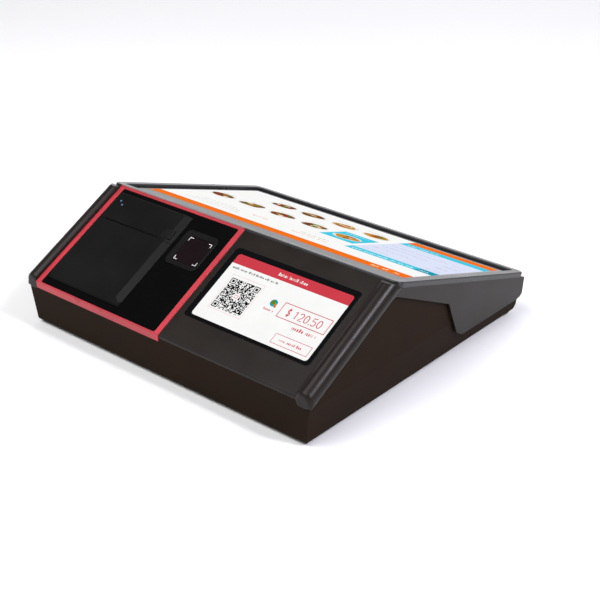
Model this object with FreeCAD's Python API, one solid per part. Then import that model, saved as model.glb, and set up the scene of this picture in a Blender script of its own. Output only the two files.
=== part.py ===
import FreeCAD, Part
import math
import os

Vector = FreeCAD.Vector

# ---------------------------------------------------------------- driving dimensions (millimetres, degrees)
WIDTH = 384.0            # overall width over the hood's side skins
FRONT_Y = -183.0         # where the customer slope's plane starts, a little ahead of its lower edge
LIP_Z = 48.4             # its height there above the table
EDGE_S = 5.2             # the slope's lower edge, measured up the slope
EDGE_R = 1.6             # rounding of that edge
SLOPE_ANGLE = 29.08      # customer slope above level
SLOPE_LEN = 147.5        # from the lower edge up to the ridge
TOP_ANGLE = 17.1         # operator's top plane, falling to the rear
TOP_LEN = 249.6          # from the ridge to the rear edge
FOOT_H = 2.5             # underside of the base above the table
FRONT_FOOT_Y = -174.3    # bottom edge of the front face, which leans back
WALL = 3.0               # hood wall
TRAY_WALL = 2.5          # base tray wall
TRAY_TOP_N = 4.8         # top of the tray's sides below the slope plane, inside the hood's skin
HALF = WIDTH / 2
SKIN_GAP = 0.4           # between the hood's side skin and the tray's side wall
TRAY_HALF = HALF - WALL - SKIN_GAP
TRAY_FOOT_HALF = 184.5   # half width of the tray's underside
TAPER_TOP_Z = 40.0       # the tray's sides stand straight above this height
RAIL_R = 10.0            # rolls along the slope's sides, standing proud of it
RAIL_X = 182.6           # their centre line
RAIL_N = -3.6
RAIL_DEPTH = 7.0         # under-edge of the rolls below the slope plane
NOSE_PROUD = 1.2         # their front ends ahead of the front face
NOSE_R = 4.5             # rounding of those ends
NOSE_LEN = 12.0          # and their solid length
BEZEL_T = 3.0            # top frame below the top plane
RIM = 2.4                # and above it

# main display
MAIN_ACTIVE = (344.2, 193.6)
MAIN_CENTRE_X = 1.5
MAIN_ACTIVE_T = 30.8     # ridge to the near edge of the picture

# printer module, in slope coordinates: x across, s up the slope, n out of it
TRIM_X = (-177.1, 2.7)
TRIM_S = 147.3
TRIM_PROUD = 1.2
TRIM_FOLD = 1.0          # thickness of the trim on the front face
TRIM_DEEP = -6.1         # and how far down it reaches
UPSTAND_T = 1.2          # thickness of the trim's strip along the ridge
UPSTAND_LOW = 0.8        # how far it reaches below the top plane
PANEL_X = (-171.0, -3.2)
PANEL_S = (6.2, 145.6)
PANEL_TOP = 0.6
REBATE = 1.2             # depth of the recess that takes the trim and the panel
SLAB_X = (-167.9, -62.6)
SLAB_S = (14.3, 139.5)
SLAB_TOP = 3.0
SLAB_LOW = -1.0
SEAM_S = 101.9           # free edge of the paper door
SLOT_X = (-160.5, -81.2)
SLOT_GAP = 1.6
BEVEL_W = 9.2
BEVEL_DROP = 2.1
HINGE = (19.0, -3.2)     # door hinge axis (s, n)
HINGE_R = 1.4
BARREL_R = 4.7
RUN = 0.05               # radial running clearance

# paper path
ROLL = (59.0, -34.0)     # roll axis (s, n)
ROLL_R = 28.5
ROLL_X = (-160.6, -81.1)
CORE_R = 8.0
CORE_BORE_R = 6.3
BUCKET_R = 29.2
BUCKET_T = 2.0
PLATEN = (94.3, -8.5)
PLATEN_R = 4.5
SHAFT_R = 2.0
HEAD_GAP = 0.25

# gear train
MODULE = 0.7
PLATEN_TEETH = 18
IDLER_TEETH = 26
PINION_TEETH = 12
PRESSURE = 20.0
BACKLASH = 0.10
GEAR_X = (-76.7, -72.7)
IDLER_DIR = -94.0        # from the platen's axis to the idler's, degrees in the (s, n) plane
PINION_DIR = -10.0       # from the idler's axis to the pinion's

# buttons
BUTTON_X = (-81.0, -67.4)
BUTTON_S = (105.2, 117.2)
BUTTON_GAP = 0.3
LEVER_PIVOT = (107.5, -7.2)
LEVER_X = (-71.4, -69.4)

PORT_Z = 7.6             # top of the input board

shapes = {}


# ---------------------------------------------------------------- helpers
def box(x0, x1, y0, y1, z0, z1):
    return Part.makeBox(x1 - x0, y1 - y0, z1 - z0, Vector(x0, y0, z0))


def cyl_x(x0, x1, y, z, r):
    return Part.makeCylinder(r, x1 - x0, Vector(x0, y, z), Vector(1, 0, 0))


def cyl_z(x, y, z0, z1, r):
    return Part.makeCylinder(r, z1 - z0, Vector(x, y, z0), Vector(0, 0, 1))


def outline(points, place):
    """Closed wire through (a, b) or (a, b, radius) corners; place turns (a, b) into a Vector."""
    edges = []
    ends = []
    count = len(points)
    for i, corner in enumerate(points):
        a, b = corner[0], corner[1]
        radius = corner[2] if len(corner) > 2 else 0.0
        if radius <= 0:
            ends.append((place(a, b), None, place(a, b)))
            continue
        before = points[i - 1]
        after = points[(i + 1) % count]
        u = Vector(before[0] - a, before[1] - b, 0).normalize()
        v = Vector(after[0] - a, after[1] - b, 0).normalize()
        half = u.getAngle(v) / 2
        reach = radius / math.tan(half)
        middle = (u + v).normalize()
        centre = Vector(a, b, 0) + middle * (radius / math.sin(half))
        top = centre - middle * radius
        start = Vector(a, b, 0) + u * reach
        stop = Vector(a, b, 0) + v * reach
        ends.append((place(start.x, start.y), place(top.x, top.y), place(stop.x, stop.y)))
    for i in range(count):
        start, middle, stop = ends[i]
        if middle is not None:
            edges.append(Part.Arc(start, middle, stop).toShape())
        following = ends[(i + 1) % count][0]
        if stop.distanceToPoint(following) > 1e-6:
            edges.append(Part.LineSegment(stop, following).toShape())
    return Part.Wire(edges)


def prism_x(points, x0, x1):
    """Solid with a (y, z) outline, from x0 to x1."""
    wire = outline(points, lambda a, b: Vector(x0, a, b))
    return Part.Face(wire).extrude(Vector(x1 - x0, 0, 0))


def prism_y(points, y0, y1):
    """Solid with an (x, z) outline, from y0 to y1."""
    wire = outline(points, lambda a, b: Vector(a, y0, b))
    return Part.Face(wire).extrude(Vector(0, y1 - y0, 0))


def plate(points, z0, z1):
    """Solid with an (x, y) outline, from z0 to z1."""
    wire = outline(points, lambda a, b: Vector(a, b, z0))
    return Part.Face(wire).extrude(Vector(0, 0, z1 - z0))


def rounded(x0, x1, y0, y1, z0, z1, r):
    return plate([(x0, y0, r), (x1, y0, r), (x1, y1, r), (x0, y1, r)], z0, z1)


def fuse(parts):
    whole = parts[0]
    if len(parts) > 1:
        whole = whole.fuse(parts[1:])
    return whole.removeSplitter()


def cut(shape, tools):
    return shape.cut(Part.makeCompound(tools))


def soften(shape, radius, wanted):
    """Fillets the edges that wanted() picks; the shape stays sharp where that fails."""
    edges = [e for e in shape.Edges if wanted(e)]
    if not edges:
        return shape
    try:
        result = shape.makeFillet(radius, edges)
    except Part.OCCError:
        return shape
    return result if result.isValid() and result.Volume > 0 else shape


def at_height(z):
    """Picks edges that lie at one local height."""
    def wanted(e):
        return abs(e.BoundBox.ZMin - z) < 1e-4 and abs(e.BoundBox.ZMax - z) < 1e-4
    return wanted


def on_slope(shape):
    """From (x, s, n) on the customer slope to the object's frame."""
    moved = shape.copy()
    moved.rotate(Vector(0, 0, 0), Vector(1, 0, 0), SLOPE_ANGLE)
    moved.translate(Vector(0, FRONT_Y, LIP_Z))
    return moved


def on_top(shape):
    """From (x, t, n) on the top plane to the object's frame."""
    ridge = slope_point(SLOPE_LEN, 0)
    moved = shape.copy()
    moved.rotate(Vector(0, 0, 0), Vector(1, 0, 0), -TOP_ANGLE)
    moved.translate(Vector(0, ridge[0], ridge[1]))
    return moved


def slope_point(s, n):
    """(y, z) of a point given by its slope coordinates."""
    c = math.cos(math.radians(SLOPE_ANGLE))
    d = math.sin(math.radians(SLOPE_ANGLE))
    return FRONT_Y + s * c - n * d, LIP_Z + s * d + n * c


def top_point(t, n):
    """(y, z) of a point given by its top-plane coordinates."""
    y, z = slope_point(SLOPE_LEN, 0)
    c = math.cos(math.radians(TOP_ANGLE))
    d = math.sin(math.radians(TOP_ANGLE))
    return y + t * c + n * d, z - t * d + n * c


def mirrored(shape):
    return shape.mirror(Vector(0, 0, 0), Vector(1, 0, 0))


def both_sides(shape):
    return [shape, mirrored(shape)]


def front_s(n):
    """s of the leaning front face at height n above the slope plane."""
    low = (FRONT_FOOT_Y - FRONT_Y, FOOT_H - LIP_Z)
    c = math.cos(math.radians(SLOPE_ANGLE))
    d = math.sin(math.radians(SLOPE_ANGLE))
    low_s = low[0] * c + low[1] * d
    low_n = -low[0] * d + low[1] * c
    return EDGE_S + n * (low_s - EDGE_S) / low_n


# ---------------------------------------------------------------- casing
REAR_TOP = top_point(TOP_LEN, 0)
HOOD_REAR = [(182.6, 25.5, 1.5), (178.6, 22.4, 1.0)]
LOBE = [(65.5, 21.2, 9.0), (54.5, 27.0, 6.0), (35.5, 66.9, 2.0)]
STRIP_END = slope_point(139.0, -RAIL_DEPTH)
STRIP_R = 9.0
SKIN_R = 6.0             # hood's own corner, under the rolls


def hood_keep():
    """Side view of what the hood covers: rail, strip under the top plane, and rear lobe."""
    rail_front = slope_point(-9.0, -RAIL_DEPTH)
    above = slope_point(-9.0, 20.0)
    return prism_x(
        [rail_front, above, (above[0], 140.0), (200.0, 140.0), (200.0, 26.0), HOOD_REAR[0], HOOD_REAR[1],
         (172.0, 21.2, 2.0)] + LOBE + [(STRIP_END[0], STRIP_END[1], STRIP_R)],
        -HALF - 5, HALF + 5)


def hood_outer():
    edge = slope_point(EDGE_S, 0)
    ridge = slope_point(SLOPE_LEN, 0)
    rear = [ridge, REAR_TOP, (182.3, 22.0), (182.3, FOOT_H)]
    body = prism_x([(FRONT_FOOT_Y, FOOT_H), edge] + rear, -HALF, HALF)

    def slope_side(e):
        b = e.BoundBox
        return b.XLength < 1e-6 and abs(abs(b.XMin) - HALF) < 1e-6 and b.YMax < ridge[0] + 1 and b.ZMin > LIP_Z

    eased = prism_x([(FRONT_FOOT_Y, FOOT_H), (edge[0], edge[1], EDGE_R)] + rear, -HALF, HALF)
    return soften(body, SKIN_R, slope_side).common(eased)


def rail():
    """Right-hand roll, rounded at its front end and cut off level with the top plane at its rear end."""
    axis = slope_point(0.0, RAIL_N)
    along_slope = slope_point(1.0, RAIL_N)
    run = Vector(0, along_slope[0] - axis[0], along_slope[1] - axis[1])
    roll = Part.makeCylinder(RAIL_R, SLOPE_LEN + 40.0, Vector(RAIL_X, axis[0], axis[1]) - run * 20.0, run)
    front = prism_x([(front_s(30.0) - NOSE_PROUD, 30.0), (front_s(-30.0) - NOSE_PROUD, -30.0), (-60.0, -30.0),
                     (-60.0, 30.0)], 150.0, 220.0)
    roll = roll.cut(on_slope(front))

    def nose_rim(e):
        return e.BoundBox.YMax < FRONT_Y + 14.0 and e.BoundBox.XLength > RAIL_R

    roll = soften(roll, NOSE_R, nose_rim)
    above = [on_top(box(150, 220, -40, 0, 0, 60)), on_top(box(150, 220, 0, 60, -BEZEL_T, 60))]
    return cut(roll, above + [on_slope(box(150, 220, -60, 240, -60, -RAIL_DEPTH))])


def hood_hollow():
    """Space inside the hood."""
    inset = WALL
    inner_r = 2.0
    ridge = slope_point(SLOPE_LEN - 1.0, -inset)
    start = slope_point(-12.0, -inset)
    rear = top_point(TOP_LEN - inset - 0.6, 0)
    body = prism_x(
        [(start[0], -20.0), start, ridge, (ridge[0] + 8, 140.0), (rear[0], 140.0), (179.4, 22.0), (179.4, -20.0)],
        -(HALF - WALL), HALF - WALL)

    def slope_side(e):
        b = e.BoundBox
        return b.XLength < 1e-6 and abs(abs(b.XMin) - HALF + WALL) < 1e-6 and b.YMax < ridge[0] + 1 and b.YLength > 50

    return soften(body, inner_r, slope_side)


SCREW_POSTS = [(-176.0, -150.0), (176.0, -150.0), (-181.5, 168.0), (181.5, 168.0), (-1.0, -158.0)]
POST_R = 3.8
FLANGE_X = 180.0
FLANGE_T = (10.5, 238.5)
PRINTER_BAY = (-168.6, -61.9, 13.6, 140.0)
SCAN_HOLE = (-47.0, -17.5, 87.0, 118.0)
CUST_GLASS = (9.4, 166.2, 35.9, 127.0)
GLASS_T = 1.8
CUST_HOLE = (11.8, 164.0, 38.1, 124.8)
LCD_TOP = -GLASS_T - 0.1
LCD_LOW = LCD_TOP - 4.6
DISPLAY_SCREWS = [(-184.0, 50.0), (184.0, 50.0), (-184.0, 200.0), (184.0, 200.0)]


def hood_posts():
    posts = []
    for x, y in SCREW_POSTS:
        posts.append(cyl_z(x, y, 12.0, 140.0, POST_R))
    return posts


def make_upper_housing():
    outer = hood_outer()
    above = on_top(box(-250, 250, 0, 300, -BEZEL_T, 60))
    solid = outer.cut(above)
    flange = on_top(box(-HALF, HALF, 1.5, TOP_LEN - 1.5, LCD_LOW, -BEZEL_T))
    window = on_top(rounded(-FLANGE_X, FLANGE_X, FLANGE_T[0], FLANGE_T[1], -30, 30, 4.0))
    flange = flange.common(solid).cut(window)
    shell = solid.cut(hood_hollow()).common(hood_keep())
    lip_cut = on_slope(box(-FLANGE_X, FLANGE_X, -30, 40, -60, -WALL))
    shell = shell.cut(lip_cut)
    roll = rail()
    nose = roll.common(on_slope(box(150, 220, -30, NOSE_LEN, -60, 60)))
    rolls = both_sides(roll.cut(hood_hollow())) + both_sides(nose)
    posts = Part.makeCompound(hood_posts()).common(solid)
    pins = [cyl_z(x, y, 5.0, 30.0, 1.25) for x, y in SCREW_POSTS]
    bay = PRINTER_BAY
    ears = []
    for x0, x1 in ((bay[0] - 4.0, bay[0]), (bay[1], bay[1] + 4.0)):
        ear = [(HINGE[0] - 5.5, -WALL), (HINGE[0] - 3.4, -7.4, 2.0), (HINGE[0] + 3.4, -7.4, 2.0), (HINGE[0] + 5.5, -WALL)]
        ears.append(on_slope(prism_x(ear, x0, x1)))
    whole = shell.fuse([flange] + rolls + list(posts.Solids) + ears)
    cutters = [
        on_slope(box(TRIM_X[0], TRIM_X[1], -5.0, TRIM_S + 0.1, -REBATE, 12.0)),
        on_top(box(TRIM_X[0], TRIM_X[1], -UPSTAND_T, 0.0, -UPSTAND_LOW, RIM)),
        on_slope(prism_x([(front_s(12.0), 12.0), (front_s(TRIM_DEEP), TRIM_DEEP), (-30.0, TRIM_DEEP), (-30.0, 12.0)],
                         TRIM_X[0], TRIM_X[1])),
        on_slope(box(bay[0], bay[1], bay[2], bay[3], -9.0, 5.0)),
        on_slope(rounded(SCAN_HOLE[0], SCAN_HOLE[1], SCAN_HOLE[2], SCAN_HOLE[3], -9.0, 5.0, 2.0)),
        on_slope(rounded(*CUST_GLASS, -GLASS_T, 5.0, 5.0)),
        on_slope(rounded(*CUST_HOLE, -9.0, 5.0, 3.0)),
        on_slope(cyl_x(bay[0] - 3.2, bay[1] + 3.2, HINGE[0], HINGE[1], HINGE_R)),
    ] + pins + [on_top(cyl_z(x, t, LCD_LOW - 1, LCD_LOW + 2.4, 1.2)) for x, t in DISPLAY_SCREWS]
    return cut(whole, cutters)


def tray_outline(inset):
    """Side view of the base tray; inset moves it inwards for the hollow."""
    lip = slope_point(front_s(-WALL), -WALL - inset * 0.2)
    ridge = slope_point(SLOPE_LEN - 6.0, -WALL)
    rear_top = top_point(TOP_LEN - 9.0, -14.0)
    if inset == 0:
        return [(FRONT_FOOT_Y, FOOT_H, 3.0), lip, ridge, (ridge[0] + 12.0, ridge[1] - 8.0), rear_top,
                (178.9, 30.0), (178.9, 19.0, 0.8), (183.4, 16.4, 0.8), (183.4, 8.4, 1.2), (177.4, FOOT_H, 1.0)]
    high = 150.0
    return [(FRONT_FOOT_Y + inset - 0.4, FOOT_H + inset, 2.0), (lip[0] + inset, lip[1]), (lip[0] + inset, high),
            (176.4, high), (176.4, FOOT_H + inset, 1.0)]


def tray_section(inset):
    low = TRAY_FOOT_HALF - inset
    high = TRAY_HALF - inset
    z = FOOT_H + inset
    r = 3.0 if inset == 0 else 1.5
    return [(-low, z, r), (low, z, r), (high, TAPER_TOP_Z), (high, 200.0), (-high, 200.0), (-high, TAPER_TOP_Z)]


FEET = [(-158.0, -148.0), (158.0, -148.0), (-158.0, 150.0), (158.0, 150.0)]
FOOT_R = 9.0
SPEAKER = (95.0, -95.0)
BOARD = (-60.0, 110.0, 30.0, 150.0)
BOARD_Z = 13.0
BOARD_SCREWS = [(-55.0, 35.0), (105.0, 35.0), (-55.0, 145.0), (105.0, 145.0)]
IO_BOARD = (-180.0, -135.0, 48.0, 143.0)
IO_PADS = [(-141.0, 54.0), (-141.0, 137.0), (-160.0, 54.0), (-160.0, 137.0)]

# sockets on the left side: name, centre y, width, height
USB_Y = (62.0, 79.0)
USB_SIZE = (13.2, 5.8)
LAN_Y = 98.5
LAN_SIZE = (16.0, 12.4)
DRAWER_Y = 117.5
DRAWER_SIZE = (12.6, 11.0)
POWER_Y = 134.0
POWER_R = 3.6
SWITCH_Y = 149.5
SWITCH_R = 4.0
PORT_X = -185.0
PORT_WINDOW = (52.0, 157.0, 5.9, 20.9)      # opening in the tray's left side wall: y, y, z, z
PORT_PLATE_X = (-184.6, -183.4)


def port_holes():
    """Openings in the port plate, each with the socket's clearance."""
    gap = 0.2
    holes = []
    for y in USB_Y:
        holes.append(box(-190, -179, y - USB_SIZE[0] / 2 - gap, y + USB_SIZE[0] / 2 + gap,
                         PORT_Z - 0.1, PORT_Z + USB_SIZE[1] + gap))
    for y, size in ((LAN_Y, LAN_SIZE), (DRAWER_Y, DRAWER_SIZE)):
        holes.append(box(-190, -179, y - size[0] / 2 - gap, y + size[0] / 2 + gap,
                         PORT_Z - 0.1, PORT_Z + size[1] + gap))
    holes.append(cyl_x(-190, -179, POWER_Y, PORT_Z + 5.5, POWER_R + 1.0))
    holes.append(cyl_x(-190, -179, SWITCH_Y, 12.5, SWITCH_R + 0.3))
    return holes


def slots(x0, x1, y0, pitch, count, width, z0, z1):
    """Row of rounded slots running along X."""
    made = []
    for i in range(count):
        y = y0 + i * pitch
        made.append(rounded(x0, x1, y, y + width, z0, z1, width * 0.49))
    return made


def make_base_tray():
    outer = prism_x(tray_outline(0), -200, 200).common(prism_y(tray_section(0), -200, 200))
    inner = prism_x(tray_outline(TRAY_WALL), -200, 200).common(prism_y(tray_section(TRAY_WALL), -200, 200))

    def front_corner(e):
        b = e.BoundBox
        upright = b.ZLength > 30 and b.YMax < FRONT_FOOT_Y + 1
        return upright and abs(b.XMin) > TRAY_FOOT_HALF - 1 and b.ZMax < LIP_Z

    shell = soften(outer, 4.0, front_corner).cut(inner)
    rail_side = slope_point(-20.0, -TRAY_TOP_N)
    rail_high = slope_point(SLOPE_LEN - 4.0, -TRAY_TOP_N)
    trim = prism_x([rail_side, rail_high, (rail_high[0], 200.0), (rail_side[0], 200.0)], 181.5, 200.0)
    shell = cut(shell, both_sides(trim))
    top_cut = prism_x([(slope_point(SLOPE_LEN - 9.0, 0)[0], 200.0), slope_point(SLOPE_LEN - 9.0, -WALL),
                       top_point(8.0, -12.0), top_point(TOP_LEN - 6.0, -12.0), (200.0, 40.0), (200.0, 200.0)],
                      -200, 200)
    shell = shell.cut(top_cut)
    floor = FOOT_H + TRAY_WALL
    adds = []
    for x, y in SCREW_POSTS:
        adds.append(cyl_z(x, y, floor - 1.0, 12.0, POST_R))
    for x, y in BOARD_SCREWS:
        adds.append(cyl_z(x, y, floor - 1.0, BOARD_Z, 3.0))
    for x, y in IO_PADS:
        adds.append(cyl_z(x, y, floor - 1.0, PORT_Z - 1.6, 3.0))
    for x in (-120.0, -20.0, 60.0, 140.0):
        adds.append(box(x - 0.9, x + 0.9, -165.0, 20.0, floor - 1.0, floor + 2.5))
    whole = fuse([shell] + adds)
    cutters = []
    for x, y in SCREW_POSTS:
        cutters.append(cyl_z(x, y, 0.0, 12.5, 1.6))
        cutters.append(cyl_z(x, y, 0.0, FOOT_H + 1.8, 3.2))
    for x, y in FEET:
        cutters.append(cyl_z(x, y, 0.0, FOOT_H + 1.0, FOOT_R))
    for x, y in BOARD_SCREWS:
        cutters.append(cyl_z(x, y, floor + 1.0, 20.0, 1.2))
    cutters += slots(SPEAKER[0] - 20, SPEAKER[0] + 20, SPEAKER[1] - 13, 5.0, 6, 2.0, 0.0, floor + 0.5)
    cutters += slots(-20, 60, 60, 6.0, 10, 2.4, 0.0, floor + 0.5)
    cutters.append(box(-190, -179, *PORT_WINDOW))
    whole = cut(whole, cutters)
    return whole.cut(shapes["upper_housing"])


def make_top_bezel():
    body = rounded(-HALF, HALF, 0.0, TOP_LEN, -BEZEL_T, RIM, 9.5)
    glass = rounded(-MAIN_GLASS_X, MAIN_GLASS_X, *MAIN_GLASS_T, -GLASS_T - 0.1, RIM + 1.0, 3.0)
    body = soften(body.cut(glass), 1.4, at_height(RIM))
    hole = rounded(-MAIN_GLASS_X + 4.0, MAIN_GLASS_X - 4.0, MAIN_GLASS_T[0] + 4.0, MAIN_GLASS_T[1] - 4.0, -9, 5, 2.0)
    return on_top(body.cut(hole))


MAIN_GLASS_X = 181.8
MAIN_GLASS_T = (10.2, 239.4)
GLASS_FIT = 0.15


def make_main_touch_glass():
    f = GLASS_FIT
    body = rounded(-MAIN_GLASS_X + f, MAIN_GLASS_X - f, MAIN_GLASS_T[0] + f, MAIN_GLASS_T[1] - f,
                   -GLASS_T - 0.1, -0.1, 3.0 - f)
    return on_top(soften(body, 0.3, at_height(-0.1)))



def make_main_lcd_panel():
    x0 = MAIN_CENTRE_X - 175.9
    x1 = MAIN_CENTRE_X + 175.9
    t0 = MAIN_ACTIVE_T - 6.4
    t1 = MAIN_ACTIVE_T + MAIN_ACTIVE[1] + 6.4
    return on_top(box(x0, x1, t0, t1, LCD_LOW, LCD_TOP))


def make_main_display_bracket():
    """Sheet steel pan behind the display, with tabs screwed to the hood's flange."""
    low = LCD_LOW - 1.2
    pan = rounded(-174.0, 177.0, 22.0, 233.0, low, LCD_LOW, 4.0)
    windows = []
    for x in (-110.0, 2.0, 112.0):
        for t in (75.0, 180.0):
            windows.append(rounded(x - 40, x + 40, t - 30, t + 30, low - 1, 0, 6.0))
    tabs = []
    for t in (50.0, 200.0):
        tabs.append(box(-187.0, -170.0, t - 8, t + 8, low, LCD_LOW))
        tabs.append(box(170.0, 187.0, t - 8, t + 8, low, LCD_LOW))
    body = cut(fuse([pan] + tabs), windows)
    holes = [cyl_z(x, t, low - 1, 0, 1.7) for x, t in DISPLAY_SCREWS]
    return on_top(cut(body, holes))


def make_customer_glass():
    f = GLASS_FIT
    x0, x1, s0, s1 = CUST_GLASS
    body = rounded(x0 + f, x1 - f, s0 + f, s1 - f, -GLASS_T, 0.15, 5.0 - f)
    return on_slope(soften(body, 0.3, at_height(0.15)))


def make_customer_lcd_panel():
    x0, x1, s0, s1 = CUST_HOLE
    return on_slope(rounded(x0 + 0.4, x1 - 0.4, s0 + 0.4, s1 - 0.4, -GLASS_T - 4.4, -GLASS_T, 2.8))


def make_customer_display_bracket():
    low = -GLASS_T - 4.4 - 1.2
    high = -GLASS_T - 4.4
    pan = rounded(16.0, 160.0, 48.0, 115.0, low, high, 4.0)
    window = rounded(45.0, 130.0, 62.0, 100.0, low - 1, high + 1, 6.0)
    tabs = []
    for x0, x1, x2, x3 in ((5.0, 20.0, 5.0, 10.4), (156.0, 172.0, 165.4, 172.0)):
        for s in (60.0, 103.0):
            tabs.append(box(x0, x1, s - 7, s + 7, low, high))
            tabs.append(box(x2, x3, s - 7, s + 7, low, -WALL))
    return on_slope(cut(fuse([pan] + tabs), [window]))


# ---------------------------------------------------------------- printer module
def make_printer_trim():
    """Coloured ring round the printer panel; it folds down the front face and stands up at the ridge."""
    ring = rounded(TRIM_X[0], TRIM_X[1], EDGE_S, TRIM_S, -REBATE, TRIM_PROUD, 1.0)
    behind = EDGE_S + 5.0
    front = [(behind, TRIM_PROUD), (front_s(TRIM_PROUD) - TRIM_FOLD, TRIM_PROUD, 1.5),
             (front_s(TRIM_DEEP) - TRIM_FOLD, TRIM_DEEP, 0.5), (front_s(TRIM_DEEP), TRIM_DEEP),
             (front_s(-REBATE), -REBATE), (behind, -REBATE)]
    bar = prism_x(front, TRIM_X[0], TRIM_X[1])
    hole = rounded(PANEL_X[0], PANEL_X[1], PANEL_S[0], PANEL_S[1], -9, 9, 2.5)
    body = cut(fuse([ring, bar]), [hole])

    def top_edge(e):
        b = e.BoundBox
        return abs(b.ZMin - TRIM_PROUD) < 1e-4 and abs(b.ZMax - TRIM_PROUD) < 1e-4 and b.YMin > EDGE_S + 1.0

    body = on_slope(soften(body, 0.5, top_edge))
    upstand = on_top(box(TRIM_X[0], TRIM_X[1], -UPSTAND_T, 0.0, -UPSTAND_LOW, RIM - 0.3))
    return fuse([body, upstand]).cut(shapes["top_bezel"])


def make_printer_panel():
    f = 0.1
    body = rounded(PANEL_X[0] + f, PANEL_X[1] - f, PANEL_S[0] + f, PANEL_S[1] - f, -REBATE, PANEL_TOP, 2.4)
    body = soften(body, 0.3, at_height(PANEL_TOP))
    bay = PRINTER_BAY
    holes = [box(bay[0], bay[1], bay[2], bay[3], -5, 5),
             rounded(*SCAN_HOLE, -5, 5, 2.0)]
    return on_slope(cut(body, holes))


def slab(s0, s1):
    """Cover slab between two heights on the slope, with its wide bevel along the right side."""
    x0, x1 = SLAB_X
    section = [(x0, SLAB_LOW), (x0, SLAB_TOP, 0.6), (x1 - BEVEL_W, SLAB_TOP), (x1, SLAB_TOP - BEVEL_DROP, 0.5),
               (x1, SLAB_LOW)]
    wire = outline(section, lambda a, b: Vector(a, s0, b))
    return Part.Face(wire).extrude(Vector(0, s1 - s0, 0))


def make_paper_door():
    x0, x1 = SLAB_X
    s_top, n_top = HINGE[0] - 2.1, HINGE[1] + 4.2
    body = slab(s_top, SEAM_S)
    bevel = prism_x([(s_top - 9, n_top - 2.9), (s_top - 9, 9.0), (SLAB_S[0] + BEVEL_W + 6.0, 9.0),
                     (SLAB_S[0] + BEVEL_W, SLAB_TOP)], x0 - 1, x1 + 1)
    body = body.cut(bevel)
    pocket = rounded(x0 + 2.6, x1 - 4.0, HINGE[0] + 6.5, SEAM_S - 3.0, SLAB_LOW - 1, 0.5, 1.5)
    body = body.cut(pocket)
    barrel = cyl_x(x0, x1, HINGE[0], HINGE[1], BARREL_R)
    web = prism_x([(HINGE[0], HINGE[1]), (HINGE[0], 0.0), (HINGE[0] + 7.0, 0.0), (HINGE[0] + 7.0, SLAB_LOW)], x0, x1)
    skirts = []
    for a, b in ((x0 + 0.3, x0 + 2.2), (x1 - 2.2, x1 - 0.3)):
        side = [(HINGE[0] + 2.0, SLAB_LOW + 0.5), (HINGE[0] + 2.0, -4.0, 1.0), (SEAM_S - 14.0, -7.0, 3.0),
                (SEAM_S - 2.0, -4.0, 1.0), (SEAM_S - 2.0, SLAB_LOW + 0.5)]
        skirts.append(prism_x(side, a, b))
    ribs = []
    for s in (42.0, 60.0, 78.0):
        ribs.append(box(x0 + 1.0, x1 - 2.0, s - 0.7, s + 0.7, -0.9, 1.0))
    lugs = []
    for a, b in ((-164.7, -162.2), (-80.0, -77.5)):
        lug = [(PLATEN[0] - 8.0, 1.0), (PLATEN[0] - 5.0, PLATEN[1] - 2.0, 2.0),
               (PLATEN[0] + 0.4, PLATEN[1] - 3.6, 2.0), (PLATEN[0] + 3.0, PLATEN[1], 2.0), (PLATEN[0] + 3.0, 1.0)]
        lugs.append(prism_x(lug, a, b))
    whole = fuse([body, barrel, web] + skirts + ribs + lugs)
    cutters = [cyl_x(x0 - 1, x1 + 1, HINGE[0], HINGE[1], HINGE_R + RUN),
               cyl_x(-166.0, -76.0, PLATEN[0], PLATEN[1], SHAFT_R + RUN)]
    return on_slope(cut(whole, cutters))


def make_printer_bezel():
    """Fixed upper part of the printer cover."""
    s1 = SLAB_S[1]
    start = SEAM_S + 0.4
    body = slab(start, s1)
    body = body.cut(prism_x([(s1 - 0.8, SLAB_TOP + 0.01), (s1 + 1, SLAB_TOP + 0.01), (s1 + 1, SLAB_TOP - 1.2)],
                            SLAB_X[0] - 1, SLAB_X[1] + 1))
    x0, x1 = SLAB_X
    skirt = box(x0 + 0.3, x1 - 0.3, s1 - 2.4, s1, -REBATE - 1.2, SLAB_LOW + 0.2)
    cutters = [rounded(SLOT_X[0], SLOT_X[1], start - 1, SEAM_S + SLOT_GAP, -5, 5, 0.4),
               rounded(BUTTON_X[0] - BUTTON_GAP, BUTTON_X[1] + BUTTON_GAP, BUTTON_S[0] - BUTTON_GAP,
                       BUTTON_S[1] + BUTTON_GAP, -5, 5, 1.3)]
    for x, s in LEDS:
        cutters.append(cyl_z(x, s, -5, 5, LED_R))
    mouth = prism_x([(SEAM_S + SLOT_GAP - 0.1, SLAB_TOP - 1.0), (SEAM_S + SLOT_GAP - 0.1, SLAB_TOP + 0.1),
                     (SEAM_S + SLOT_GAP + 1.4, SLAB_TOP + 0.1)], SLOT_X[0], SLOT_X[1])
    return on_slope(cut(fuse([body, skirt]), cutters + [mouth]))


LEDS = [(-159.6, 128.9), (-154.6, 124.8)]
LED_R = 1.2


def make_status_leds():
    lenses = []
    for x, s in LEDS:
        stem = cyl_z(x, s, -1.2, SLAB_TOP - 0.2, LED_R)
        dome = Part.makeSphere(1.4, Vector(x, s, SLAB_TOP - 0.95))
        cap = dome.common(cyl_z(x, s, SLAB_TOP - 0.2, SLAB_TOP + 1, LED_R))
        base = cyl_z(x, s, -2.0, -1.2, 1.9)
        lenses.append(on_slope(fuse([stem, cap, base])))
    return Part.makeCompound(lenses)


def make_door_hinge_pin():
    return on_slope(cyl_x(PRINTER_BAY[0] - 3.2, PRINTER_BAY[1] + 3.2, HINGE[0], HINGE[1], HINGE_R))


def make_platen_shaft():
    bar = cyl_x(-165.2, -69.0, PLATEN[0], PLATEN[1], SHAFT_R)
    return on_slope(bar)


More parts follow.
